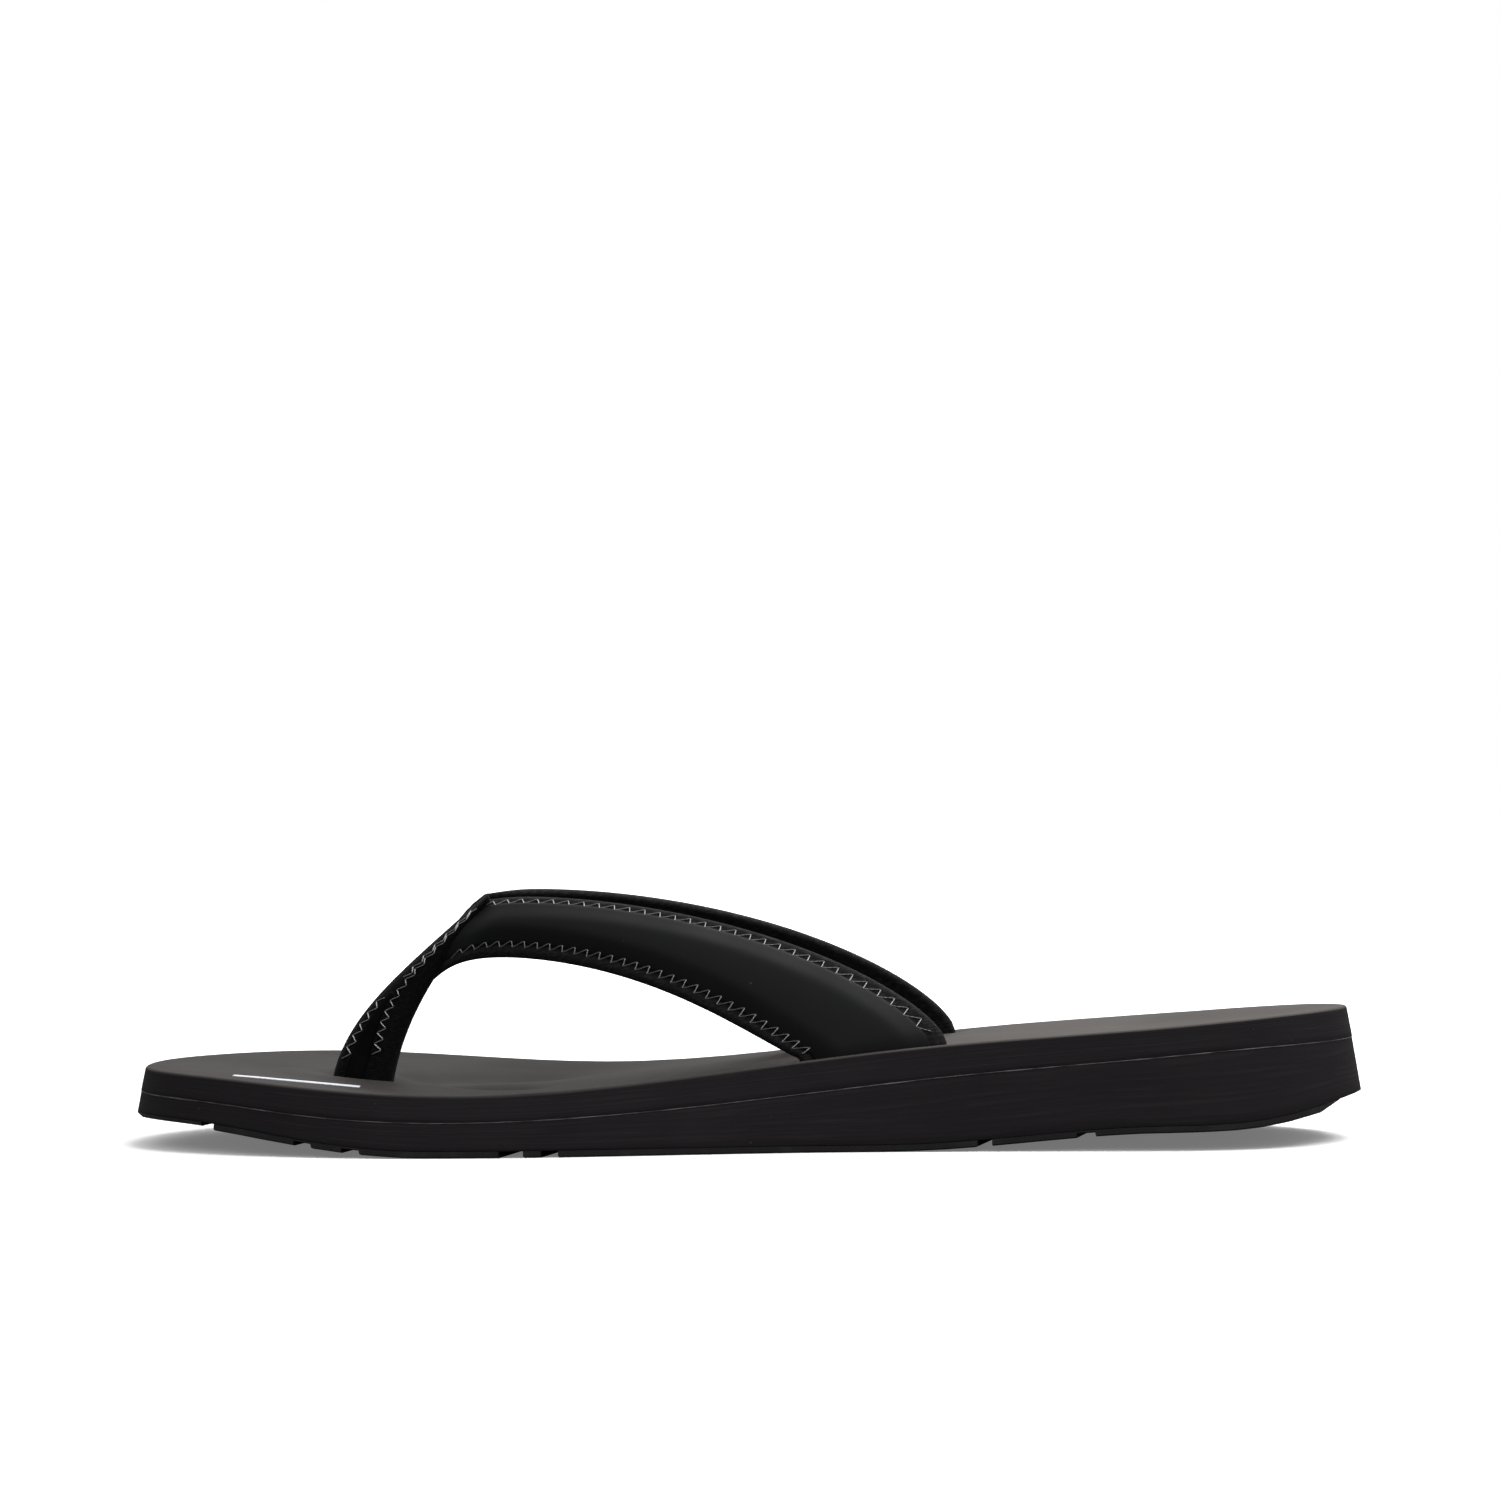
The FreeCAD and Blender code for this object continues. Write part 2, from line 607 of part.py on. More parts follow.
def make_strap(strap, seam_block, junction, tab_level):
    """One strap: lining, padding and outer panel, and the tab that holds it under the footbed."""
    title = strap.name.title()
    lining_top = size("lining_thickness")
    foam_top = lining_top + size("foam_thickness")
    outside = united(title + "Outside", seam_block, junction)
    lining = add(title + "LiningBlank", strap.layer(0.0, lining_top))
    foam = add(title + "FoamBlank", strap.layer(lining_top, foam_top))
    low, high = size("panel_lower_share"), 1 - size("panel_upper_share")
    panel = add(title + "PanelBlank", strap.layer(foam_top, strap.thickness, low, high))
    node(strap.name + "_strap_lining", cut(title + "Lining", lining, outside))
    node(strap.name + "_strap_foam", cut(title + "Foam", foam, outside))
    node(strap.name + "_strap_panel", cut(title + "Panel", panel, outside))
    plan = tab_plan(title + "TabPlan", strap, 0.0)
    node(strap.name + "_strap_tab", common(title + "Tab", tab_level, plan))


def make_post(post, seam_block, tab_level):
    """The toe post's cover and the webbing in it, and the disc that holds them under the footbed."""
    webbing = add("WebbingBlank", post.webbing())
    cover = cut("CoverBlank", add("Blade", post.blade()), webbing)
    node("toe_post_cover", cut("ToePostCover", cover, seam_block))
    node("toe_post_webbing", cut("ToePostWebbing", webbing, seam_block))
    node("toe_post_anchor", common("ToePostAnchor", tab_level, anchor_plan("AnchorPlan", 0.0)))


def make_mark():
    """The plain printed bar, which lies on the footbed."""
    film = slab("FilmLevel", level_edges(2), level_edges(2, size("mark_thickness")))
    bar = doc.addObject("Part::Box", "MarkPlan")
    bar.setExpression("Length", "Sizes.mark_length")
    bar.setExpression("Width", "Sizes.mark_width")
    bar.Height = TOOL_HEIGHT
    bar.setExpression("Placement.Base.x", "%s - Sizes.mark_length / 2" % toe("mark_from_toe"))
    bar.setExpression("Placement.Base.y", "Sizes.mark_across - Sizes.mark_width / 2")
    bar.Placement.Base.z = -OVERRUN
    node("footbed_mark", common("FootbedMark", film, bar))


def check():
    """Stops if an object failed or a sub-part has no valid solid."""
    for feature in doc.Objects:
        if "Invalid" in feature.State or "Error" in feature.State:
            raise RuntimeError("failed: %s" % feature.Label)
    for name, feature in nodes.items():
        shape = feature.Shape
        if shape.isNull() or not shape.isValid() or not shape.Solids:
            raise RuntimeError("no valid solid: %s" % name)


def export():
    """Writes each sub-part to a STEP file with the name of its label."""
    os.makedirs("parts", exist_ok=True)
    for name, feature in nodes.items():
        feature.Shape.exportStep("parts/%s.step" % name)
        solids = len(feature.Shape.Solids)
        print("%-24s %d solid(s) %9.1f mm3" % (name, solids, feature.Shape.Volume))


fill_sheet()
both_straps = [Strap(name, side) for name, side, *_ in STRAPS]
toe_post = Post()
sole, tabs = make_sole(both_straps, toe_post)
make_outsole(sole)
below_seam = slab("BelowSeam", level_edges(1, -3 * OVERRUN), level_edges(1))
junction_room = add("JunctionRoom", toe_post.blade(size("junction_gap")))
for one_strap in both_straps:
    make_strap(one_strap, below_seam, junction_room, tabs)
make_post(toe_post, below_seam, tabs)
make_mark()
doc.recompute()
check()
export()
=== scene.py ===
"""A black thong sandal: foam sole on rubber pods, padded straps with zigzag stitching and a toe post.

The sizes come from the frame wherever it holds them. Lengths are in metres; MM turns millimetres into them.
"""

import json
import math
import bmesh
import bpy
from mathutils import Matrix, Vector
from mathutils.bvhtree import BVHTree
from mathutils.kdtree import KDTree


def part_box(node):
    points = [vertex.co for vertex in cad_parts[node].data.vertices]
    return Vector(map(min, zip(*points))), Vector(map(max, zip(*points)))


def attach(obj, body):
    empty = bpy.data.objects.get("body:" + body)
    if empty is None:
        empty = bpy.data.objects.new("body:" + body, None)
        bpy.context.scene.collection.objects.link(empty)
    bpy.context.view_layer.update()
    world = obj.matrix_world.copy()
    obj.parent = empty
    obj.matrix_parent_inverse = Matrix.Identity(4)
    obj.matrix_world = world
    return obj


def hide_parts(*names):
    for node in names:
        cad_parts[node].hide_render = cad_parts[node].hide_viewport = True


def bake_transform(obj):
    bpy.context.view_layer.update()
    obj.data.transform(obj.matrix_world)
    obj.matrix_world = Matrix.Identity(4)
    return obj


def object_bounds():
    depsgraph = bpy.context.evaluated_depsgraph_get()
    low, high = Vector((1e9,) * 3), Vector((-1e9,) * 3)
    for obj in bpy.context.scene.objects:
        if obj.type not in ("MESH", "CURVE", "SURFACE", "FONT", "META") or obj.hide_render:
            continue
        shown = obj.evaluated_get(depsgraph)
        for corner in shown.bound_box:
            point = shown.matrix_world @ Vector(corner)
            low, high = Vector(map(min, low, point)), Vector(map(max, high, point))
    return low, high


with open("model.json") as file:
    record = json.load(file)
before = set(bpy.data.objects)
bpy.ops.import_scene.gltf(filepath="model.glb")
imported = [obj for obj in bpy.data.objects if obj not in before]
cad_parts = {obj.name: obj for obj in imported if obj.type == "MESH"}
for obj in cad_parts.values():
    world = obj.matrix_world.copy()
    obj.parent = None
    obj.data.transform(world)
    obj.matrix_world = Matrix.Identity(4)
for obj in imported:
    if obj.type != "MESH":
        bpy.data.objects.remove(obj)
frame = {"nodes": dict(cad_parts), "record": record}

bl_info = {
    "name": "Thong Sandal",
    "version": (1, 0, 0),
    "blender": (4, 5, 0),
    "location": "View3D > Sidebar > Sandal",
    "description": "Models a padded thong sandal around its frame",
    "category": "Add Mesh",
}

MM = 0.001
FAR = 0.3  # rays that run in to the rim of the sole start this far out
BESIDE = 0.2  # rays that run across the sole start this far to the side
FRAME_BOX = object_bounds()
HINGE = frame["record"]["behaviour"]["joints"][0]
AXIS = Vector(HINGE["axis"])
SKEW = AXIS.x / AXIS.y  # how far the trace lines run back for each metre towards the outer side
FLEX_TRACE = HINGE["pos_m"][0] - SKEW * HINGE["pos_m"][1]


# ---------------------------------------------------------------------------------------------------
# Measures read from the frame
# ---------------------------------------------------------------------------------------------------
def tree_of(*names):
    """A search tree over the faces of some nodes of the frame."""
    shape = bmesh.new()
    for name in names:
        shape.from_mesh(frame["nodes"][name].data)
    tree = BVHTree.FromBMesh(shape)
    shape.free()
    return tree


def trace_of(point):
    """Where the line through a point, parallel to the ball line, crosses the middle of the sole."""
    return point[0] - SKEW * point[1]


def smoothstep(value, low, high):
    """0 below low, 1 above high and a soft step between them."""
    share = min(max((value - low) / (high - low), 0.0), 1.0)
    return share * share * (3 - 2 * share)


class Level:
    """The height of one surface of the sole along the trace, measured on the frame."""

    STEP = 2 * MM

    def __init__(self, tree, upward):
        self.first, self.heights = None, []
        start, direction = (-1, Vector((0, 0, 1))) if upward else (1, Vector((0, 0, -1)))
        low, high = FRAME_BOX[0][0], FRAME_BOX[1][0]
        for number in range(int((high - low) / self.STEP) + 1):
            trace = low + self.STEP * number
            hit = tree.ray_cast(Vector((trace, 0, start)), direction)[0]
            if hit is None and self.heights:
                break
            if hit is not None:
                self.first = trace if self.first is None else self.first
                self.heights.append(hit.z)
        # the end samples touch the rounded tips, so the run behind them gives the slope there
        self.first += self.STEP
        self.heights = self.heights[1:-1]

    def __call__(self, trace):
        place = (trace - self.first) / self.STEP
        index = min(max(int(math.floor(place)), 0), len(self.heights) - 2)
        low, high = self.heights[index], self.heights[index + 1]
        return low + (high - low) * (place - index)


class Sole:
    """The outline and the levels of the sole."""

    RUN = 150  # columns along each side
    TURN = 84  # columns round each end
    SPINE_FRONT = 48 * MM, -5 * MM  # the spine's ends: distance from the tip and place across
    SPINE_REAR = 40 * MM, 0
    ATTEMPTS = 5  # rays per column, each at the height that the last one asks for
    SMOOTHING = (1, 2, 3, 2, 1)  # weights of the neighbours

    def __init__(self):
        upper = ("footbed_front", "footbed_rear")
        lower = ("midsole_front", "midsole_rear")
        footbed, midsole = tree_of(*upper), tree_of(*lower)
        self.wall = tree_of(*upper, *lower)
        self.top = Level(footbed, False)
        self.seam = Level(footbed, True)
        self.belly = Level(midsole, True)
        self.spine_front = Vector((FRAME_BOX[0][0] + self.SPINE_FRONT[0], self.SPINE_FRONT[1], 0))
        self.spine_rear = Vector((FRAME_BOX[1][0] - self.SPINE_REAR[0], self.SPINE_REAR[1], 0))
        self.bases = self.ray_bases()

    def ray_bases(self):
        """A point on the spine and a direction out from it for each column, once round the sole."""
        bases = []
        for step in range(self.RUN):
            share = step / self.RUN
            bases.append((self.spine_front.lerp(self.spine_rear, share), Vector((0, -1, 0))))
        for step in range(self.TURN):
            angle = math.pi * step / self.TURN - math.pi / 2
            bases.append((self.spine_rear, Vector((math.cos(angle), math.sin(angle), 0))))
        for step in range(self.RUN):
            share = step / self.RUN
            bases.append((self.spine_rear.lerp(self.spine_front, share), Vector((0, 1, 0))))
        for step in range(self.TURN + 1):
            angle = math.pi * step / self.TURN + math.pi / 2
            bases.append((self.spine_front, Vector((math.cos(angle), math.sin(angle), 0))))
        return bases

    def ring(self, level, lift=0.0):
        """The outline of the side wall at a level, smoothed over the frame's facets."""
        points = []
        for base, direction in self.bases:
            start = base + direction * FAR
            low, high = self.belly(trace_of(base)), self.top(trace_of(base))
            z = (low + high) / 2
            for _attempt in range(self.ATTEMPTS):
                hit = self.wall.ray_cast(Vector((start.x, start.y, z)), -direction)[0]
                trace = trace_of(hit)
                low, high = self.belly(trace) + 0.4 * MM, self.top(trace) - 0.3 * MM
                z = min(max(level(trace) + lift, low), high)
            points.append(Vector((hit.x, hit.y, level(trace) + lift)))
        return self.smoothed(points, level, lift)

    def smoothed(self, points, level, lift):
        """A ring with each point moved to the weighted middle of its neighbours."""
        loop, reach = points[:-1], len(self.SMOOTHING) // 2
        result = []
        for index in range(len(loop)):
            place = Vector((0, 0, 0))
            for offset, weight in enumerate(self.SMOOTHING, start=-reach):
                place += loop[(index + offset) % len(loop)] * weight
            place /= sum(self.SMOOTHING)
            result.append(Vector((place.x, place.y, level(trace_of(place)) + lift)))
        return result + [result[0].copy()]

    def outward(self, ring):
        """The level direction out of the sole at each point of a ring."""
        normals = []
        for index in range(len(ring)):
            before = ring[index - 1] if index else ring[-2]
            after = ring[index + 1] if index < len(ring) - 1 else ring[1]
            along = after - before
            normals.append(Vector((along.y, -along.x, 0)).normalized())
        return normals

    def lengths(self, ring):
        """The distance along a ring to each of its points."""
        total, result = 0.0, [0.0]
        for before, after in zip(ring, ring[1:]):
            total += (after - before).length
            result.append(total)
        return result


SOLE = Sole()
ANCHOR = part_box("toe_post_anchor")
POST_FOOT = Vector(((ANCHOR[0].x + ANCHOR[1].x) / 2, (ANCHOR[0].y + ANCHOR[1].y) / 2, 0))
SOLE_BEND = -24 * MM, 24 * MM  # where a soft bend would begin and end, from the flex line towards the toe; no piece is bent by it
STRAP_BEND = -42 * MM, 49 * MM  # from the slots to the toe post


def from_post(x, y, z):
    """A place given in millimetres from the foot of the toe post; z is over the floor."""
    return POST_FOOT + Vector((x, y, z)) * MM


# ---------------------------------------------------------------------------------------------------
# Modelling helpers
# ---------------------------------------------------------------------------------------------------
def deselect():
    """Leaves nothing selected and no object in edit mode."""
    if bpy.context.object and bpy.context.object.mode != "OBJECT":
        bpy.ops.object.mode_set(mode="OBJECT")
    bpy.ops.object.select_all(action="DESELECT")


def grid_piece(name, rows, texture, closed=True):
    """A piece from rows of points: a grid is added, each corner goes to its point and seams are merged.

    rows is a list of equally long lists of points. texture(column, row) gives the UV in metres.
    """
    deselect()
    columns, count = len(rows[0]) - 1, len(rows) - 1
    bpy.ops.mesh.primitive_grid_add(x_subdivisions=columns, y_subdivisions=count, size=2)
    piece = bpy.context.object
    piece.name = name
    piece.data.name = name
    mesh = piece.data
    places = []
    for vertex in mesh.vertices:
        column = round((vertex.co.x + 1) / 2 * columns)
        row = round((vertex.co.y + 1) / 2 * count)
        places.append((column, row))
    uv = mesh.uv_layers.active
    for loop in mesh.loops:
        uv.data[loop.index].uv = texture(*places[loop.vertex_index])
    for vertex, (column, row) in zip(mesh.vertices, places):
        vertex.co = rows[row][column]
    if closed:
        bpy.ops.object.mode_set(mode="EDIT")
        bpy.ops.mesh.select_all(action="SELECT")
        bpy.ops.mesh.remove_doubles(threshold=0.002 * MM)
        bpy.ops.mesh.normals_make_consistent(inside=False)
        bpy.ops.object.mode_set(mode="OBJECT")
    bpy.ops.object.shade_smooth()
    return piece


def finish_modifier(piece, kind, **settings):
    """Adds a modifier with its settings and applies it."""
    modifier = piece.modifiers.new(kind.title(), kind)
    for key, value in settings.items():
        setattr(modifier, key, value)
    bpy.context.view_layer.objects.active = piece
    piece.select_set(True)
    bpy.ops.object.modifier_apply(modifier=modifier.name)


def smooth_by_angle(piece, degrees):
    """Shades a piece smooth, but keeps the edges that turn more than the angle."""
    deselect()
    piece.select_set(True)
    bpy.context.view_layer.objects.active = piece
    bpy.ops.object.shade_smooth_by_angle(angle=math.radians(degrees))


def across_flex(distance):
    """A point on the sole's middle, at a distance in front of the flex line (behind it if negative)."""
    return Vector((FLEX_TRACE, 0, 0)) + Vector((-AXIS.y, AXIS.x, 0)) * distance


def bend_with_sole(piece):
    """Works out the ends of the soft zone about the flex line, but does not bend the piece: only bakes its
    transform into its mesh.
    """
    begin, finish = SOLE_BEND
    across_flex(begin)
    across_flex(finish)
    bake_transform(piece)


def bend_with_straps(piece):
    """Works out the ends of the straps' soft zone, but the piece does not follow the sole: only its transform is
    baked into its mesh.
    """
    begin, finish = STRAP_BEND
    across_flex(begin)
    across_flex(finish)
    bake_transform(piece)


# ---------------------------------------------------------------------------------------------------
# Materials
# ---------------------------------------------------------------------------------------------------
def shader_node(tree, kind, inputs=(), **settings):
    """Adds a node, sets its properties, and sets or links its inputs."""
    item = tree.nodes.new(kind)
    for key, value in settings.items():
        setattr(item, key, value)
    for key, value in dict(inputs).items():
        if isinstance(value, bpy.types.NodeSocket):
            tree.links.new(value, item.inputs[key])
        else:
            item.inputs[key].default_value = value
    return item


def math_node(tree, operation, first, second=0.0):
    """A maths node's result."""
    item = shader_node(tree, "ShaderNodeMath", {0: first, 1: second}, operation=operation)
    return item.outputs[0]


def noise(tree, vector, scale, detail):
    """Soft noise's value."""
    item = shader_node(tree, "ShaderNodeTexNoise", {"Vector": vector, "Scale": scale, "Detail": detail})
    return item.outputs["Fac"]


def new_group(name, inputs, outputs):
    """A shader node group with float or vector inputs and outputs, and its two end nodes."""
    tree = bpy.data.node_groups.new(name, "ShaderNodeTree")
    for label, kind, value in inputs:
        socket = tree.interface.new_socket(label, in_out="INPUT", socket_type=kind)
        if value is not None:
            socket.default_value = value
    for label, kind in outputs:
        tree.interface.new_socket(label, in_out="OUTPUT", socket_type=kind)
    return tree, tree.nodes.new("NodeGroupInput"), tree.nodes.new("NodeGroupOutput")


def build_grain_group():
    """Fine irregular grain: a height and a slow mottle, from any coordinates in metres."""
    tree, start, end = new_group(
        "Grain",
        [("Vector", "NodeSocketVector", None), ("Size", "NodeSocketFloat", 0.0006),
         ("Mottle Size", "NodeSocketFloat", 0.02)],
        [("Height", "NodeSocketFloat"), ("Mottle", "NodeSocketFloat")],
    )
    fine = math_node(tree, "DIVIDE", 1.0, start.outputs["Size"])
    slow = math_node(tree, "DIVIDE", 1.0, start.outputs["Mottle Size"])
    tree.links.new(noise(tree, start.outputs["Vector"], fine, 3.0), end.inputs["Height"])
    tree.links.new(noise(tree, start.outputs["Vector"], slow, 4.0), end.inputs["Mottle"])
    return tree


def build_knit_group():
    """Fine jersey: columns of loops, from UV in metres."""
    tree, start, end = new_group(
        "Jersey",
        [("Vector", "NodeSocketVector", None), ("Pitch", "NodeSocketFloat", 0.0007)],
        [("Height", "NodeSocketFloat"), ("Fleck", "NodeSocketFloat")],
    )
    split = shader_node(tree, "ShaderNodeSeparateXYZ", {0: start.outputs["Vector"]})
    turns = math_node(tree, "DIVIDE", 2 * math.pi, start.outputs["Pitch"])
    wales = math_node(tree, "SINE", math_node(tree, "MULTIPLY", split.outputs["Y"], turns))
    slant = math_node(tree, "MULTIPLY", math_node(tree, "ABSOLUTE", wales), 1.4)
    courses = math_node(tree, "MULTIPLY", split.outputs["X"], turns)
    loops = math_node(tree, "SINE", math_node(tree, "ADD", courses, slant))
    height = math_node(tree, "ADD", math_node(tree, "MULTIPLY", math_node(tree, "ABSOLUTE", wales), 0.6),
                       math_node(tree, "MULTIPLY", loops, 0.4))
    tree.links.new(height, end.inputs["Height"])
    tree.links.new(noise(tree, start.outputs["Vector"], 900.0, 2.0), end.inputs["Fleck"])
    return tree


def build_lines_group():
    """Fine lengthwise lines, as a blade leaves in foam, from UV in metres."""
    tree, start, end = new_group(
        "Skived Lines",
        [("Vector", "NodeSocketVector", None), ("Spacing", "NodeSocketFloat", 0.0005),
         ("Length", "NodeSocketFloat", 0.03)],
        [("Height", "NodeSocketFloat")],
    )
    along = math_node(tree, "DIVIDE", 1.0, start.outputs["Length"])
    over = math_node(tree, "DIVIDE", 1.0, start.outputs["Spacing"])
    split = shader_node(tree, "ShaderNodeSeparateXYZ", {0: start.outputs["Vector"]})
    stretched = shader_node(tree, "ShaderNodeCombineXYZ", {
        "X": math_node(tree, "MULTIPLY", split.outputs["X"], along),
        "Y": math_node(tree, "MULTIPLY", split.outputs["Y"], over),
    })
    tree.links.new(noise(tree, stretched.outputs[0], 1.0, 4.0), end.inputs["Height"])
    return tree


def build_specks_group():
    """Sparse pale specks of lint, from any coordinates in metres."""
    tree, start, end = new_group(
        "Specks",
        [("Vector", "NodeSocketVector", None), ("Spacing", "NodeSocketFloat", 0.004)],
        [("Mask", "NodeSocketFloat")],
    )
    scale = math_node(tree, "DIVIDE", 1.0, start.outputs["Spacing"])
    cells = shader_node(tree, "ShaderNodeTexVoronoi", {"Vector": start.outputs["Vector"], "Scale": scale})
    near = ranged(tree, cells.outputs["Distance"], 0.02, 0.055, 1.0, 0.0)
    lot = shader_node(tree, "ShaderNodeSeparateColor", {0: cells.outputs["Color"]})
    picked = math_node(tree, "GREATER_THAN", lot.outputs[0], 0.6)
    tree.links.new(math_node(tree, "MULTIPLY", near, picked), end.inputs["Mask"])
    return tree


GROUPS = {}


def placed_group(tree, name, **inputs):
    """Places a shared node group and sets or links its inputs."""
    item = shader_node(tree, "ShaderNodeGroup", (), node_tree=GROUPS[name])
    for key, value in inputs.items():
        label = key.replace("_", " ")
        if isinstance(value, bpy.types.NodeSocket):
            tree.links.new(value, item.inputs[label])
        else:
            item.inputs[label].default_value = value
    return item


def new_material(name, **shader_values):
    """A material with a Principled shader. Returns it, its tree, the shader and the coordinates node."""
    material = bpy.data.materials.new(name)
    material.use_nodes = True
    tree = material.node_tree
    shader = tree.nodes["Principled BSDF"]
    for key, value in shader_values.items():
        shader.inputs[key.replace("_", " ")].default_value = value
    coordinates = tree.nodes.new("ShaderNodeTexCoord")
    return material, tree, shader, coordinates


def mixed(tree, factor, first, second):
    """A colour between two, by a factor."""
    item = shader_node(tree, "ShaderNodeMix", data_type="RGBA")
    tree.links.new(factor, item.inputs[0])
    for socket, colour in ((item.inputs[6], first), (item.inputs[7], second)):
        if isinstance(colour, bpy.types.NodeSocket):
            tree.links.new(colour, socket)
        else:
            socket.default_value = (*colour, 1.0)
    return item.outputs[2]


def ranged(tree, value, low, high, to_low, to_high):
    """A value moved from one range to another, and kept in it."""
    item = shader_node(tree, "ShaderNodeMapRange", {
        "Value": value, "From Min": low, "From Max": high, "To Min": to_low, "To Max": to_high})
    return item.outputs[0]


def bumped(tree, shader, height, distance, strength=1.0, under=None):
    """Feeds a height to the shader's normal, over an earlier bump if there is one."""
    bump = shader_node(tree, "ShaderNodeBump", {"Height": height, "Distance": distance, "Strength": strength})
    if under:
        tree.links.new(under.outputs[0], bump.inputs["Normal"])
    tree.links.new(bump.outputs[0], shader.inputs["Normal"])
    return bump


def side_foam(name, colour, streak_colour):
    """Foam with a skived side: fine lengthwise lines, a few of them paler."""
    material, tree, shader, coordinates = new_material(name, Roughness=0.72, Specular_IOR_Level=0.2)
    lines = placed_group(tree, "Skived Lines", Vector=coordinates.outputs["UV"], Spacing=0.42 * MM, Length=26 * MM)
    grain = placed_group(tree, "Grain", Vector=coordinates.outputs["Object"], Size=0.5 * MM, Mottle_Size=18 * MM)
    specks = placed_group(tree, "Specks", Vector=coordinates.outputs["Object"], Spacing=5 * MM)
    streak = ranged(tree, lines.outputs["Height"], 0.52, 0.78, 0.0, 1.0)
    base = mixed(tree, streak, colour, streak_colour)
    dusted = mixed(tree, math_node(tree, "MULTIPLY", specks.outputs["Mask"], 0.35), base, (0.12, 0.12, 0.12))
    tree.links.new(dusted, shader.inputs["Base Color"])
    tree.links.new(ranged(tree, grain.outputs["Mottle"], 0.3, 0.7, 0.62, 0.82), shader.inputs["Roughness"])
    first = bumped(tree, shader, lines.outputs["Height"], 0.10 * MM, 0.8)
    bumped(tree, shader, grain.outputs["Height"], 0.04 * MM, 0.6, first)
    return material


def top_foam(colour, lit_foam_colour):
    """The footbed's upper face: matte foam skin, with painted light that makes it paler towards the heel and a
    little towards the toes.
    """
    material, tree, shader, coordinates = new_material(
        "Footbed Skin", Roughness=0.8, Specular_IOR_Level=0.14)
    grain = placed_group(tree, "Grain", Vector=coordinates.outputs["Object"], Size=0.55 * MM, Mottle_Size=26 * MM)
    coarse = placed_group(tree, "Grain", Vector=coordinates.outputs["Object"], Size=1.7 * MM, Mottle_Size=60 * MM)
    along = shader_node(tree, "ShaderNodeSeparateXYZ", {0: coordinates.outputs["Object"]}).outputs["X"]
    # Painted light: a paler tone towards the heel and a little towards the toes, for how the light falls on the
    # footbed.
    lit_heel = ranged(tree, along, -50 * MM, 70 * MM, 0.0, 0.9)
    lit_toes = ranged(tree, along, -125 * MM, -60 * MM, 0.3, 0.0)
    lit = math_node(tree, "MAXIMUM", lit_heel, lit_toes)
    mottle = ranged(tree, grain.outputs["Mottle"], 0.3, 0.7, -0.07, 0.10)
    # The painted light plus a random mottle of tone.
    pale = math_node(tree, "ADD", lit, mottle)
    tree.links.new(mixed(tree, pale, colour, lit_foam_colour), shader.inputs["Base Color"])
    tree.links.new(ranged(tree, coarse.outputs["Mottle"], 0.3, 0.7, 0.68, 0.82), shader.inputs["Roughness"])
    first = bumped(tree, shader, coarse.outputs["Height"], 0.10 * MM, 0.5)
    bumped(tree, shader, grain.outputs["Height"], 0.05 * MM, 0.6, first)
    return material


def jersey(name, colour, fleck_colour):
    """The fine knit round the padding of the straps and the toe post."""
    material, tree, shader, coordinates = new_material(
        name, Roughness=0.9, Specular_IOR_Level=0.12, Sheen_Weight=0.02, Sheen_Roughness=0.5)
    knit = placed_group(tree, "Jersey", Vector=coordinates.outputs["UV"], Pitch=0.62 * MM)
    fleck = ranged(tree, knit.outputs["Fleck"], 0.45, 0.75, 0.0, 1.0)
    tree.links.new(mixed(tree, fleck, colour, fleck_colour), shader.inputs["Base Color"])
    tree.links.new(ranged(tree, knit.outputs["Height"], 0.0, 1.0, 0.95, 0.8), shader.inputs["Roughness"])
    bumped(tree, shader, knit.outputs["Height"], 0.14 * MM, 0.7)
    return material


def coated(name, colour, high_colour, gloss):
    """The smooth coated panels: a bluish black with a very fine grain."""
    material, tree, shader, coordinates = new_material(
        name, Roughness=0.62, Specular_IOR_Level=gloss)
    grain = placed_group(tree, "Grain", Vector=coordinates.outputs["Object"], Size=0.35 * MM, Mottle_Size=14 * MM)
    specks = placed_group(tree, "Specks", Vector=coordinates.outputs["Object"], Spacing=6 * MM)
    mottle = ranged(tree, grain.outputs["Mottle"], 0.3, 0.7, 0.0, 1.0)
    base = mixed(tree, mottle, colour, high_colour)
    dusted = mixed(tree, math_node(tree, "MULTIPLY", specks.outputs["Mask"], 0.3), base, (0.15, 0.15, 0.16))
    tree.links.new(dusted, shader.inputs["Base Color"])
    tree.links.new(ranged(tree, grain.outputs["Mottle"], 0.3, 0.7, 0.56, 0.68), shader.inputs["Roughness"])
    bumped(tree, shader, grain.outputs["Height"], 0.03 * MM, 0.5)
    return material


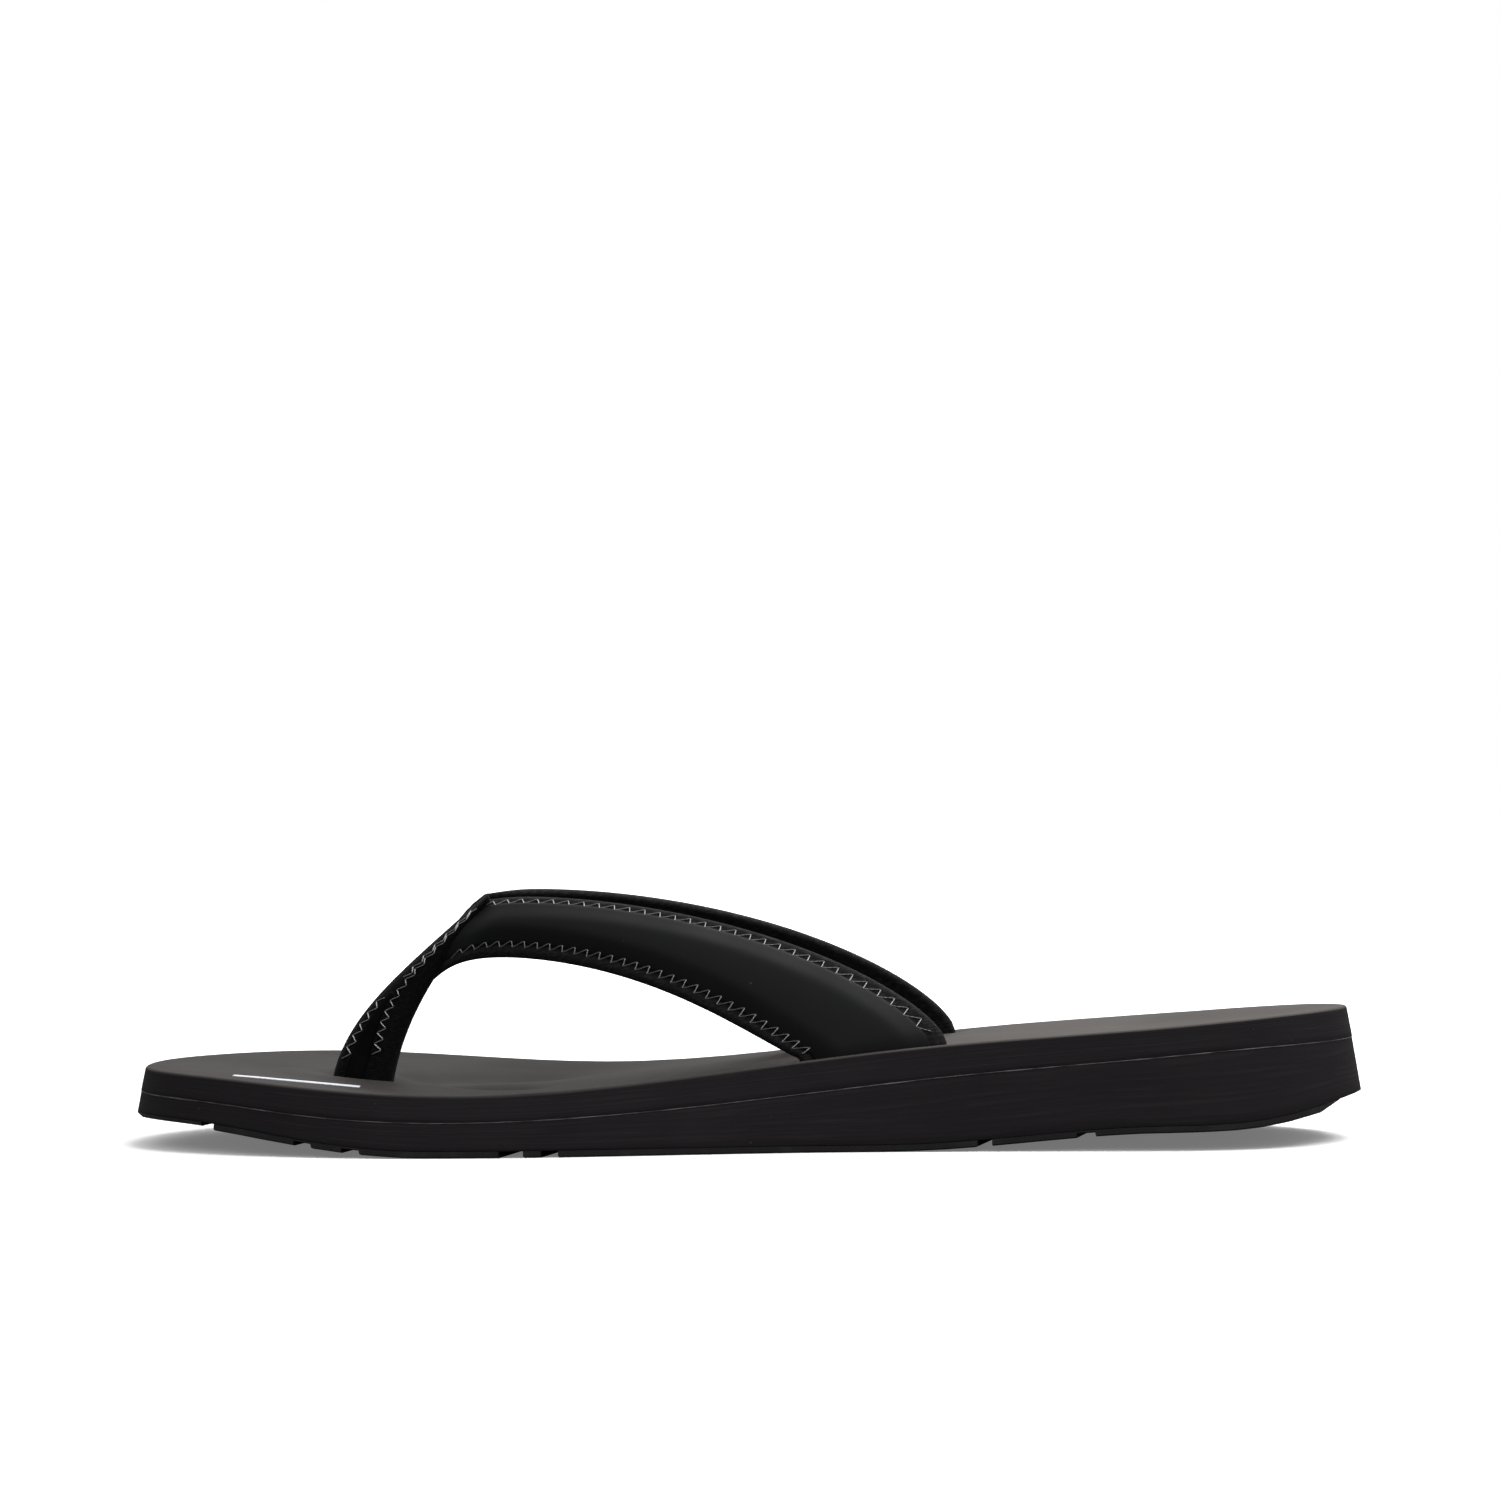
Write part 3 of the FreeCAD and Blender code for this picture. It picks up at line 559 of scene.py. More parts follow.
def twisted_thread(colour, shine_colour):
    """Two-ply thread: slanting plies along it. Every second leg lies towards the light and is bright."""
    material, tree, shader, coordinates = new_material(
        "Stitch Thread", Roughness=0.36, Specular_IOR_Level=0.6, Sheen_Weight=0.2)
    split = shader_node(tree, "ShaderNodeSeparateXYZ", {0: coordinates.outputs["UV"]})
    lean = math_node(tree, "ADD", math_node(tree, "MULTIPLY", split.outputs["X"], 6.0),
                     math_node(tree, "MULTIPLY", split.outputs["Y"], 1400.0))
    ply = math_node(tree, "SINE", math_node(tree, "MULTIPLY", lean, 2 * math.pi))
    bright = math_node(tree, "SINE", math_node(tree, "MULTIPLY", split.outputs["X"], math.pi))
    glint = ranged(tree, bright, -0.8, 0.3, 1.0, 0.12)
    shine = math_node(tree, "MULTIPLY", ranged(tree, ply, -1.0, 1.0, 0.55, 1.0), glint)
    tree.links.new(mixed(tree, shine, colour, shine_colour), shader.inputs["Base Color"])
    tree.links.new(ranged(tree, ply, -1.0, 1.0, 0.55, 0.3), shader.inputs["Roughness"])
    bumped(tree, shader, ply, 0.06 * MM, 0.8)
    return material


def moulded_rubber(colour, scuffed_colour):
    """The pods: dense moulded rubber, scuffed paler in places."""
    material, tree, shader, coordinates = new_material("Outsole Rubber", Roughness=0.62, Specular_IOR_Level=0.4)
    grain = placed_group(tree, "Grain", Vector=coordinates.outputs["Object"], Size=0.8 * MM, Mottle_Size=9 * MM)
    scuff = ranged(tree, grain.outputs["Mottle"], 0.5, 0.75, 0.0, 1.0)
    tree.links.new(mixed(tree, scuff, colour, scuffed_colour), shader.inputs["Base Color"])
    tree.links.new(ranged(tree, grain.outputs["Height"], 0.3, 0.7, 0.54, 0.74), shader.inputs["Roughness"])
    bumped(tree, shader, grain.outputs["Height"], 0.05 * MM, 0.6)
    return material


def dried_glue(colour, foam_colour):
    """The glue that shows between the layers in a thin, broken line."""
    material, tree, shader, coordinates = new_material("Glue Line", Roughness=0.5, Specular_IOR_Level=0.4)
    lines = placed_group(tree, "Skived Lines", Vector=coordinates.outputs["UV"], Spacing=2 * MM, Length=7 * MM)
    breaks = placed_group(tree, "Grain", Vector=coordinates.outputs["Object"], Size=1.2 * MM, Mottle_Size=35 * MM)
    both = math_node(tree, "MULTIPLY", ranged(tree, lines.outputs["Height"], 0.4, 0.62, 0.0, 1.0),
                     ranged(tree, breaks.outputs["Mottle"], 0.3, 0.62, 0.35, 1.0))
    tree.links.new(mixed(tree, both, foam_colour, colour), shader.inputs["Base Color"])
    bumped(tree, shader, breaks.outputs["Height"], 0.05 * MM, 0.5)
    return material


def printed(colour, lit_foam_colour):
    """The pale print of the bar on the footbed, worn a little by the foam's grain under it."""
    material, tree, shader, coordinates = new_material("Footbed Print", Roughness=0.55)
    grain = placed_group(tree, "Grain", Vector=coordinates.outputs["Object"], Size=0.5 * MM, Mottle_Size=4 * MM)
    worn = ranged(tree, grain.outputs["Height"], 0.58, 0.74, 0.0, 1.0)
    # Where the print is worn it shows the footbed's paler, painted-light tone.
    tree.links.new(mixed(tree, worn, colour, lit_foam_colour), shader.inputs["Base Color"])
    bumped(tree, shader, grain.outputs["Height"], 0.03 * MM, 0.5)
    return material


def woven_band(colour, high_colour):
    """Nylon webbing: a plain over-and-under weave."""
    material, tree, shader, coordinates = new_material("Nylon Webbing", Roughness=0.6, Specular_IOR_Level=0.4)
    split = shader_node(tree, "ShaderNodeSeparateXYZ", {0: coordinates.outputs["Object"]})
    waves = []
    for axis in ("X", "Y"):
        turns = math_node(tree, "MULTIPLY", split.outputs[axis], 2 * math.pi / (1.4 * MM))
        waves.append(math_node(tree, "SINE", turns))
    weave = math_node(tree, "MULTIPLY", *waves)
    tree.links.new(mixed(tree, ranged(tree, weave, -1, 1, 0, 1), colour, high_colour), shader.inputs["Base Color"])
    bumped(tree, shader, weave, 0.15 * MM, 0.7)
    return material


MATERIALS = {}


def make_materials():
    """Builds the shared node groups, then every material once."""
    GROUPS["Grain"] = build_grain_group()
    GROUPS["Jersey"] = build_knit_group()
    GROUPS["Skived Lines"] = build_lines_group()
    GROUPS["Specks"] = build_specks_group()
    finish = bpy.context.scene.sandal_finish
    MATERIALS["midsole"] = side_foam("Midsole Foam", finish.foam, finish.foam_streak)
    MATERIALS["footbed_side"] = side_foam("Footbed Foam", finish.foam, finish.foam_streak)
    # The footbed's top gets painted light: paler towards the heel and the toes.
    MATERIALS["footbed_top"] = top_foam(finish.footbed, finish.footbed_lit)
    MATERIALS["jersey"] = jersey("Strap Jersey", finish.jersey, finish.jersey_fleck)
    # Painted shade: the toe post's knit and panel are darker copies of the straps', for the shadow that falls on
    # the post.
    MATERIALS["shaded_post_jersey"] = jersey("Shaded Post Jersey", finish.post, finish.panel)
    MATERIALS["panel"] = coated("Strap Panel Coating", finish.panel, finish.panel_high, 0.16)
    MATERIALS["shaded_post_panel"] = coated("Shaded Post Panel Coating", finish.post, finish.panel, 0.04)
    MATERIALS["thread"] = twisted_thread(finish.thread, finish.thread_shine)
    MATERIALS["rubber"] = moulded_rubber(finish.rubber, finish.rubber_scuffed)
    MATERIALS["glue"] = dried_glue(finish.glue, finish.foam)
    MATERIALS["print"] = printed(finish.print_colour, finish.footbed_lit)
    MATERIALS["webbing"] = woven_band(finish.rubber, finish.foam_streak)


def dress(piece, slot, *names):
    """Gives a piece its materials, in order. The slot is not used."""
    piece.data.materials.clear()
    for name in names:
        piece.data.materials.append(MATERIALS[name])


# ---------------------------------------------------------------------------------------------------
# Sole
# ---------------------------------------------------------------------------------------------------
RIM = SOLE.ring(SOLE.top)
RIM_SEARCH = KDTree(len(RIM))
for number, rim_point in enumerate(RIM):
    RIM_SEARCH.insert((rim_point.x, rim_point.y, 0), number)
RIM_SEARCH.balance()

# Soft valleys that run back from the toe post: start, end, half width, depth, in millimetres from the post.
VALLEYS = [
    ((7.0, 3.0), (44.0, 5.0), 5.0, 2.2),
    ((8.0, 8.0), (52.0, 44.0), 6.5, 1.5),
]


def rim_distance(x, y):
    """How far a place on the footbed is from its rim."""
    return RIM_SEARCH.find((x, y, 0))[2]


def hollow(x, y):
    """How far the footbed lies under its rim's level: the dish, the valleys and the dimple at the post."""
    trace = trace_of((x, y))
    heel_cup = 1.3 * math.exp(-((trace / MM - 95) / 38) ** 2)
    ball_bed = 0.9 * math.exp(-((trace / MM + 54) / 22) ** 2)
    depth = (0.45 + heel_cup + ball_bed) * smoothstep(rim_distance(x, y), 1.0 * MM, 19 * MM)
    for start, end, width, deep in VALLEYS:
        start, end = from_post(*start, 0).xy, from_post(*end, 0).xy
        along = end - start
        share = (Vector((x, y)) - start).dot(along) / along.length_squared
        aside = (Vector((x, y)) - start).cross(along.normalized()) / (width * MM)
        fade = smoothstep(share, -0.15, 0.12) * (1 - smoothstep(share, 0.6, 1.1))
        depth += deep * math.exp(-aside ** 2) * fade
    away = math.hypot((x - POST_FOOT.x) / 1.9, y - POST_FOOT.y) / MM
    depth += 0.9 * math.exp(-((away - 3.4) / 1.6) ** 2) - 0.6 * math.exp(-((away - 8.5) / 3.2) ** 2)
    for strap in STRAPS.values():
        depth += 0.7 * math.exp(-((strap.slot_distance(x, y) / MM - 1.5) / 1.8) ** 2)
    return depth * MM


def footbed_height(x, y):
    """The height of the footbed's upper face."""
    return SOLE.top(trace_of((x, y))) - hollow(x, y)


def shrunk_ring(ring, share, height):
    """A ring drawn in towards the spine, each point at the height given for its place."""
    points = []
    for (base, _direction), point in zip(SOLE.bases, ring):
        place = base.lerp(Vector((point.x, point.y, 0)), share)
        points.append(Vector((place.x, place.y, height(place.x, place.y))))
    return points


def edge_rows(ring, outward, radius, start, end, steps):
    """Rows round an edge of the sole, from one angle over level to another."""
    rows = []
    for step in range(steps + 1):
        angle = math.radians(start + (end - start) * step / steps)
        rows.append([
            point + normal * radius * (math.cos(angle) - 1) + Vector((0, 0, radius * math.sin(angle)))
            for point, normal in zip(ring, outward)
        ])
    return rows


def lifted(ring, lift):
    """A ring moved up or down."""
    return [point + Vector((0, 0, lift)) for point in ring]


def wall_rows(low, high, count):
    """Rows of a straight wall between two rings, without the rings themselves."""
    return [[a.lerp(b, step / count) for a, b in zip(low, high)] for step in range(1, count)]


def sole_texture(rows):
    """UV in metres: the way round the sole and the way over its section."""
    round_sole = SOLE.lengths(RIM)
    over = [0.0]
    for before, after in zip(rows, rows[1:]):
        over.append(over[-1] + (after[0] - before[0]).length)
    return lambda column, row: (round_sole[column], over[row])


def level_at(level, lift=0.0):
    """The height of a level at any place."""
    return lambda x, y: level(trace_of((x, y))) + lift


def make_midsole():
    """The lower foam layer, with a soft lower edge and a fine groove at the glue line."""
    belly, seam = SOLE.ring(SOLE.belly), SOLE.ring(SOLE.seam)
    outward = SOLE.outward(RIM)
    lower_edge, seam_edge = 0.3 * MM, 0.3 * MM
    low = edge_rows(lifted(belly, lower_edge), outward, lower_edge, -90, 0, 5)
    high = edge_rows(lifted(seam, -seam_edge), outward, seam_edge, 0, 90, 3)
    inner = (0.0, 0.3, 0.6, 0.9)
    rows = [shrunk_ring(belly, share, level_at(SOLE.belly)) for share in inner]
    rows += low + wall_rows(low[-1], high[0], 6) + high
    rows += [shrunk_ring(seam, share, level_at(SOLE.seam, -0.02 * MM)) for share in reversed(inner)]
    piece = grid_piece("midsole", rows, sole_texture(rows))
    dress(piece, "midsole_foam", "midsole")
    bend_with_sole(piece)
    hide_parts("midsole_front", "midsole_rear")


def make_footbed():
    """The upper foam layer: dished, with a rounded rim and soft valleys behind the toe post."""
    seam = SOLE.ring(SOLE.seam)
    outward = SOLE.outward(RIM)
    rim_edge, seam_edge = 0.8 * MM, 0.3 * MM
    low = edge_rows(lifted(seam, seam_edge), outward, seam_edge, -90, 0, 3)
    high = edge_rows(lifted(RIM, -rim_edge), outward, rim_edge, 0, 90, 6)
    rows = [shrunk_ring(seam, share, level_at(SOLE.seam, 0.02 * MM)) for share in (0.0, 0.5, 0.9)]
    rows += low + wall_rows(low[-1], high[0], 5) + high
    upper_rows = 46
    for step in range(1, upper_rows + 1):
        share = 0.985 * (1 - step / upper_rows)
        rows.append(shrunk_ring(high[-1], share, footbed_height))
    piece = grid_piece("footbed", rows, sole_texture(rows))
    dress(piece, "footbed_foam", "footbed_side", "footbed_top")
    for face in piece.data.polygons:
        if face.normal.z > 0.5 and face.center.z > SOLE.seam(trace_of(face.center)) + 2 * MM:
            face.material_index = 1
    bend_with_sole(piece)
    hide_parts("footbed_front", "footbed_rear")


def make_glue_line():
    """The thin line of glue in the groove between the layers."""
    ring = SOLE.ring(SOLE.seam)
    outward = SOLE.outward(RIM)
    radius, depth, sides = 0.17 * MM, 0.11 * MM, 6
    rows = []
    for step in range(sides + 1):
        angle = 2 * math.pi * step / sides
        side, up = math.cos(angle) * radius - depth, math.sin(angle) * radius
        rows.append([p + normal * side + Vector((0, 0, up)) for p, normal in zip(ring, outward)])
    piece = grid_piece("glue_line", rows, sole_texture(rows))
    dress(piece, "midsole_foam", "glue")
    bend_with_sole(piece)


def make_mark():
    """The plain printed bar, laid on the footbed's hollow."""
    low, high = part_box("footbed_mark")
    columns, rows_count, lift = 40, 6, 0.14 * MM
    rows = []
    for row in range(rows_count + 1):
        y = low[1] + (high[1] - low[1]) * row / rows_count
        points = []
        for column in range(columns + 1):
            x = low[0] + (high[0] - low[0]) * column / columns
            points.append(Vector((x, y, footbed_height(x, y) + lift)))
        rows.append(points)
    piece = grid_piece("footbed_mark_print", rows, lambda column, row: (column * MM, row * MM), closed=False)
    finish_modifier(piece, "SOLIDIFY", thickness=0.3 * MM, offset=-1.0)
    dress(piece, "print_film", "print")
    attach(piece, "front")
    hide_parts("footbed_mark")


class Pod:
    """One rubber pod of the outsole: a strip of the tread between two places of the trace."""

    COLUMNS = 84
    BORDER = 6.5 * MM  # plain rubber between the wavy tread and the pod's edges
    PITCH = 5.5 * MM
    GROOVE = 1.3 * MM
    SLOPE = 0.25 * MM

    def __init__(self, node):
        self.node = node
        mesh = frame["nodes"][node].data
        traces = [trace_of(vertex.co) for vertex in mesh.vertices]
        self.front, self.rear = min(traces), max(traces)
        self.tree = tree_of(node)
        samples = [self.probe(share / 40) for share in range(1, 40)]
        self.thickness = max(samples)
        self.cross_grooves = self.find_grooves()

    def probe(self, share):
        """The pod's thickness on its middle line."""
        trace = self.front + (self.rear - self.front) * share
        hit = self.tree.ray_cast(Vector((trace, 0, -1)), Vector((0, 0, 1)))[0]
        return SOLE.belly(trace) - hit.z if hit else 0.0

    def find_grooves(self):
        """Where grooves cross the pod: the traces of the front and rear edge of each."""
        found, start, step = [], None, 0.25 * MM
        count = int((self.rear - self.front) / step)
        for number in range(1, count):
            trace = self.front + step * number
            hit = self.tree.ray_cast(Vector((trace, 0, -1)), Vector((0, 0, 1)))[0]
            deep = hit is None or SOLE.belly(trace) - hit.z < self.thickness * 0.6
            if deep and start is None:
                start = trace
            if not deep and start is not None:
                found.append((start, trace))
                start = None
        return found

    def sides(self, trace):
        """The pod's inner and outer ends on a line along the ball line."""
        z = SOLE.belly(trace) - self.thickness * 0.2
        ends = []
        for side in (-1, 1):
            start = Vector((trace + SKEW * side * BESIDE, side * BESIDE, z))
            hit = self.tree.ray_cast(start, Vector((-SKEW * side, -side, 0)).normalized())[0]
            ends.append(hit.y if hit else None)
        return ends

    def stations(self):
        """Rows along the pod: trace, groove depth at the pod's edges, groove depth inside, wave."""
        depth = self.thickness * 0.62
        rows = [(self.front, 0, 0, 0), (self.front + 0.4 * MM, 0, 0, 0)]
        for start, end in self.cross_grooves:
            for trace, share in ((start - self.SLOPE, 0), (start, 1), (end, 1), (end + self.SLOPE, 0)):
                rows.append((trace, depth * share, depth * share, 0))
        middle = self.front + self.BORDER
        while middle < self.rear - self.BORDER:
            clear = all(middle < start - 4.5 * MM or middle > end + 4.5 * MM for start, end in self.cross_grooves)
            if clear:
                half = self.GROOVE / 2
                for offset, share in ((-half - self.SLOPE, 0), (-half, 1), (half, 1), (half + self.SLOPE, 0)):
                    rows.append((middle + offset, 0, depth * share, 1))
            middle += self.PITCH
        rows += [(self.rear - 0.4 * MM, 0, 0, 0), (self.rear, 0, 0, 0)]
        return sorted(rows)

    def section(self, trace, edge_depth, inner_depth, wave, flat=False):
        """A closed row across the pod: the tread from the inner to the outer side, and back on top."""
        inner, outer = self.sides(trace)
        tread, top = [], []
        soft = 0.45 * MM
        for column in range(self.COLUMNS + 1):
            y = inner + (outer - inner) * column / self.COLUMNS
            from_edge = min(y - inner, outer - y)
            inside = smoothstep(from_edge, self.BORDER - 1.5 * MM, self.BORDER)
            shift = wave * 1.6 * MM * math.sin(2 * math.pi * y / (11 * MM)) * inside
            place = trace + shift
            deep = edge_depth + (inner_depth - edge_depth) * inside
            rounding = soft * (1 - min(from_edge / soft, 1.0)) ** 2 * 0.8
            x = place + SKEW * y
            height = SOLE.belly(place)
            low = height - self.thickness + deep + rounding
            tread.append(Vector((x, y, height + 0.05 * MM if flat else low)))
            top.append(Vector((x, y, height + 0.05 * MM)))
        return tread + top[::-1] + [tread[0].copy()]

    def make(self):
        """Builds the pod's mesh."""
        stations = [station for station in self.stations() if None not in self.sides(station[0])]
        rows = [self.section(*station) for station in stations]
        rows.insert(0, self.section(*stations[0], flat=True))
        rows.append(self.section(*stations[-1], flat=True))
        piece = grid_piece(self.node + "_tread", rows, lambda column, row: (column * MM, row * MM))
        smooth_by_angle(piece, 28)
        dress(piece, "outsole_rubber", "rubber")
        bend_with_sole(piece)
        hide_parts(self.node)


# ---------------------------------------------------------------------------------------------------
# Straps and toe post
# ---------------------------------------------------------------------------------------------------
CREASE_FOOT = from_post(15.5, 5.5, 0)  # where a strap's lower edge leaves the toe post
CREASE_TOP = from_post(27.0, 5.5, 0)  # where its upper edge does
LOWER_ARC = (2.6, 1.2)  # exponents of an edge's arc: how late it falls, and how steeply it ends
UPPER_ARC = (2.0, 0.7)
LOWER_DROOP = 5.4 * MM  # how far the lower edge hangs down where it leaves the toe post
DROOP_SHARE = 0.072


def bezier(points, share):
    """A point on a cubic curve with four control points."""
    rest = 1 - share
    a, b, c, d = points
    return a * rest ** 3 + b * (3 * rest ** 2 * share) + c * (3 * rest * share ** 2) + d * share ** 3


class Strap:
    """One side strap: a padded band from the toe post to its slot, with a panel and two stitch rows."""

    THICKNESS = 2.7 * MM
    CAMBER = 1.4 * MM
    NEAR_SLOT = 36 * MM  # about how far from the middle of the sole the slots are
    SLOT_INSET = 7.8 * MM  # from the rim to the inner face of the strap
    UNDER_POST = Vector((-2.5, 0, -2.0)) * MM  # how far the strap runs on under the toe post

    def __init__(self, name, side, lower_crest, upper_crest):
        self.name, self.side = name, side
        self.crests = lower_crest, upper_crest
        low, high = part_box(name + "_strap_tab")
        self.ends = self.slot_end(low[0]), self.slot_end(high[0])
        spread = Vector((0, side, 0))
        self.starts = CREASE_FOOT + spread * 0.8 * MM, CREASE_TOP + spread * 0.3 * MM
        self.table = self.lengths()

    def slot_end(self, x):
        """An end of the slot: under the inner face of the strap, on the footbed's level."""
        z = SOLE.top(trace_of((x, self.side * self.NEAR_SLOT)))
        start = Vector((x, self.side * BESIDE, z - 0.4 * MM))
        rim = SOLE.wall.ray_cast(start, Vector((0, -self.side, 0)))[0]
        return Vector((x, rim.y - self.side * self.SLOT_INSET, z))

    def slot_distance(self, x, y):
        """How far a place on the footbed is from the middle of the slot."""
        lower, upper = self.ends
        offset = Vector((0, self.side * 1.6 * MM))
        start, end = lower.xy + offset, upper.xy + offset
        share = (Vector((x, y)) - start).dot(end - start) / (end - start).length_squared
        return (Vector((x, y)) - start.lerp(end, min(max(share, 0.0), 1.0))).length

    def edges(self, share):
        """The lower and the upper edge of the strap's inner face. Past 1 they go down into the slot."""
        result = []
        arcs, droops = (LOWER_ARC, UPPER_ARC), (LOWER_DROOP, 1.2 * MM)
        for start, end, crest, (late, steep), droop in zip(self.starts, self.ends, self.crests, arcs, droops):
            place = start.lerp(end, min(share, 1.0))
            if share < 1.0:
                place.z = end.z + (crest - end.z) * (1 - share ** late) ** steep
                place.z -= droop * math.exp(-share / DROOP_SHARE)
            else:
                place.z = end.z - (share - 1.0)
            result.append(place)
        return result

    def lengths(self):
        """Shares and distances along the middle of the strap, for even spacing."""
        table, total, before = [(0.0, 0.0)], 0.0, sum(self.edges(0.0), Vector()) / 2
        for step in range(1, 401):
            share = 1 - (1 - step / 400) ** 1.8
            middle = sum(self.edges(share), Vector()) / 2
            total += (middle - before).length
            table.append((share, total))
            before = middle
        return table

    def share_at(self, distance):
        """The share at a distance from the toe post."""
        for (share, reach), (next_share, next_reach) in zip(self.table, self.table[1:]):
            if next_reach >= distance:
                return share + (next_share - share) * (distance - reach) / (next_reach - reach)
        return 1.0 + distance - self.table[-1][1]

    def outward(self, share):
        """The direction out of the strap, away from the foot."""
        lower, upper = self.edges(share)
        if share >= 1.0:
            along = Vector((0, 0, -1))
        else:
            ahead = sum(self.edges(min(share + 0.02, 1.0)), Vector())
            along = ahead - sum(self.edges(max(share - 0.02, 0.0)), Vector())
        normal = (upper - lower).cross(along).normalized()
        return normal if normal.y * self.side > 0 else -normal

    def point(self, share, across, height):
        """A place on or over the strap's inner face."""
        lower, upper = self.edges(share)
        bow = 4 * across * (1 - across) * self.CAMBER
        return lower.lerp(upper, across) + self.outward(share) * (height + bow)

    def width(self, share):
        """The strap's width, square to its run."""
        lower, upper = self.edges(share)
        return (upper - lower).length

    def band_half(self, share, across):
        """Half the band's thickness at a place: full inside and rolled round at the edges."""
        edge = min(across, 1 - across) * self.width(share)
        roll = min(edge / (1.7 * MM), 1.0)
        return self.THICKNESS / 2 * math.sqrt(max(1 - (1 - roll) ** 2, 0.0))

    def lower_row(self, share):
        """The lower row of stitches keeps near the lower edge and grows taller towards the slot."""
        share = min(share, 1.0)
        middle, half = (4.0 - 0.9 * share ** 6) * MM, (0.85 + 0.85 * share) * MM
        return (middle - half) / self.width(share), (middle + half) / self.width(share)

    def upper_row(self, share):
        """The upper row of stitches moves away from the upper edge towards the slot."""
        share = min(share, 1.0)
        middle, half = (1.7 + 1.8 * share) * MM, (0.75 + 0.75 * share) * MM
        return 1 - (middle + half) / self.width(share), 1 - (middle - half) / self.width(share)

    def panel_span(self, share):
        """Where the panel lies across the strap: the two rows of stitches run over its edges."""
        low, high = self.upper_row(share)
        return sum(self.lower_row(share)) / 2, low + (high - low) * 0.25

    def pinch(self, share, across):
        """How far the stitches pull the surface down."""
        total = 0.0
        for low, high in (self.lower_row(share), self.upper_row(share)):
            total += math.exp(-((across - (low + high) / 2) / ((high - low) * 0.45)) ** 2)
        return 0.28 * MM * total

    def panel_height(self, share, across):
        """The panel's thickness at a place: puffed in the middle and turned down at its edges."""
        low, high = self.panel_span(share)
        if across <= low or across >= high:
            return 0.0
        edge = min(across - low, high - across) * self.width(share)
        lip = math.sqrt(max(1 - (1 - min(edge / (0.6 * MM), 1.0)) ** 2, 0.0))
        puff = smoothstep(edge, 0, 6.5 * MM)
        return (0.45 * lip + 1.0 * puff) * MM

    def surface(self, share, across):
        """The height of the strap's outer face over its inner face."""
        band = self.THICKNESS / 2 + self.band_half(share, across) - self.pinch(share, across)
        return (band + self.panel_height(share, across)) * self.tuck(share)

    def tuck(self, share):
        """The strap thins down where it tucks under the toe post."""
        return 0.55 + 0.45 * smoothstep(share, 0.0, 0.09)

    def rows(self, profile):
        """Rows of a closed section all along the strap, down into the slot."""
        total = self.table[-1][1]
        count = 96
        distances = [total * step / count for step in range(count + 1)] + [total + 3 * MM, total + 5 * MM]
        rows = []
        for distance in distances:
            share = self.share_at(distance)
            tuck = self.tuck(share)
            rows.append([self.point(share, across, height * tuck) for across, height in profile(share)])
        rows.insert(0, [point + self.UNDER_POST for point in rows[0]])
        return closed_ends(rows)

    def band_profile(self, share):
        """The closed section of the padded band."""
        half, steps = self.THICKNESS / 2, 30
        across = [(1 - math.cos(math.pi * step / steps)) / 2 for step in range(steps + 1)]
        outer = []
        for a in across:
            bulge = self.band_half(share, a)
            outer.append((a, half + bulge - self.pinch(share, a) * min(bulge / half, 1.0)))
        inner = [(a, half - self.band_half(share, a)) for a in reversed(across[1:-1])]
        return outer + inner + outer[:1]

    def panel_profile(self, share):
        """The closed section of the panel, sunk a little into the band."""
        low, high = self.panel_span(share)
        steps = 26
        across = [low + (high - low) * (1 - math.cos(math.pi * step / steps)) / 2 for step in range(steps + 1)]
        base = [self.THICKNESS / 2 + self.band_half(share, a) - self.pinch(share, a) for a in across]
        outer = [(a, b + self.panel_height(share, a)) for a, b in zip(across, base)]
        inner = [(a, b - 0.4 * MM) for a, b in zip(across, base)]
        return outer + inner[::-1] + outer[:1]

    def make(self):
        """Builds the band, the panel and the two rows of stitches."""
        total = self.table[-1][1]
        for part, profile, slot, finish, nodes in (
            ("band", self.band_profile, "strap_padding", "jersey", ("lining", "foam")),
            ("panel_cover", self.panel_profile, "strap_panel", "panel", ("panel",)),
        ):
            rows = self.rows(profile)
            scale = total / len(rows)
            piece = grid_piece("%s_strap_%s" % (self.name, part), rows, strip_texture(rows, scale))
            dress(piece, slot, finish)
            bend_with_straps(piece)
            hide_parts(*["%s_strap_%s" % (self.name, node) for node in nodes])
        sizes = bpy.context.scene.sandal_sizes
        for part, row, begin, finish in (
            ("lower", self.lower_row, 2.5 * MM, total - 2 * MM),
            ("upper", self.upper_row, 1.0 * MM, total - 1.5 * MM),
        ):
            def place(distance, across, lift):
                share = self.share_at(distance)
                return self.point(share, across, self.surface(share, across) + lift)

            def row_at(progress):
                return row(self.share_at(begin + (finish - begin) * progress))

            piece = zigzag("%s_strap_stitches_%s" % (self.name, part), place, row_at, begin, finish,
                           sizes.stitch_pitch, sizes.thread_radius)
            bend_with_straps(piece)


def closed_ends(rows):
    """Rows of a tube with its two ends drawn together to a point."""
    ends = [[sum(row[:-1], Vector()) / (len(row) - 1)] * len(row) for row in (rows[0], rows[-1])]
    return [ends[0]] + rows + [ends[1]]


def strip_texture(rows, scale):
    """UV in metres for a strip: along it, and round its section as measured halfway."""
    section = rows[len(rows) // 2]
    reach = [0.0]
    for before, after in zip(section, section[1:]):
        reach.append(reach[-1] + (after - before).length)
    return lambda column, row: (row * scale, reach[column])


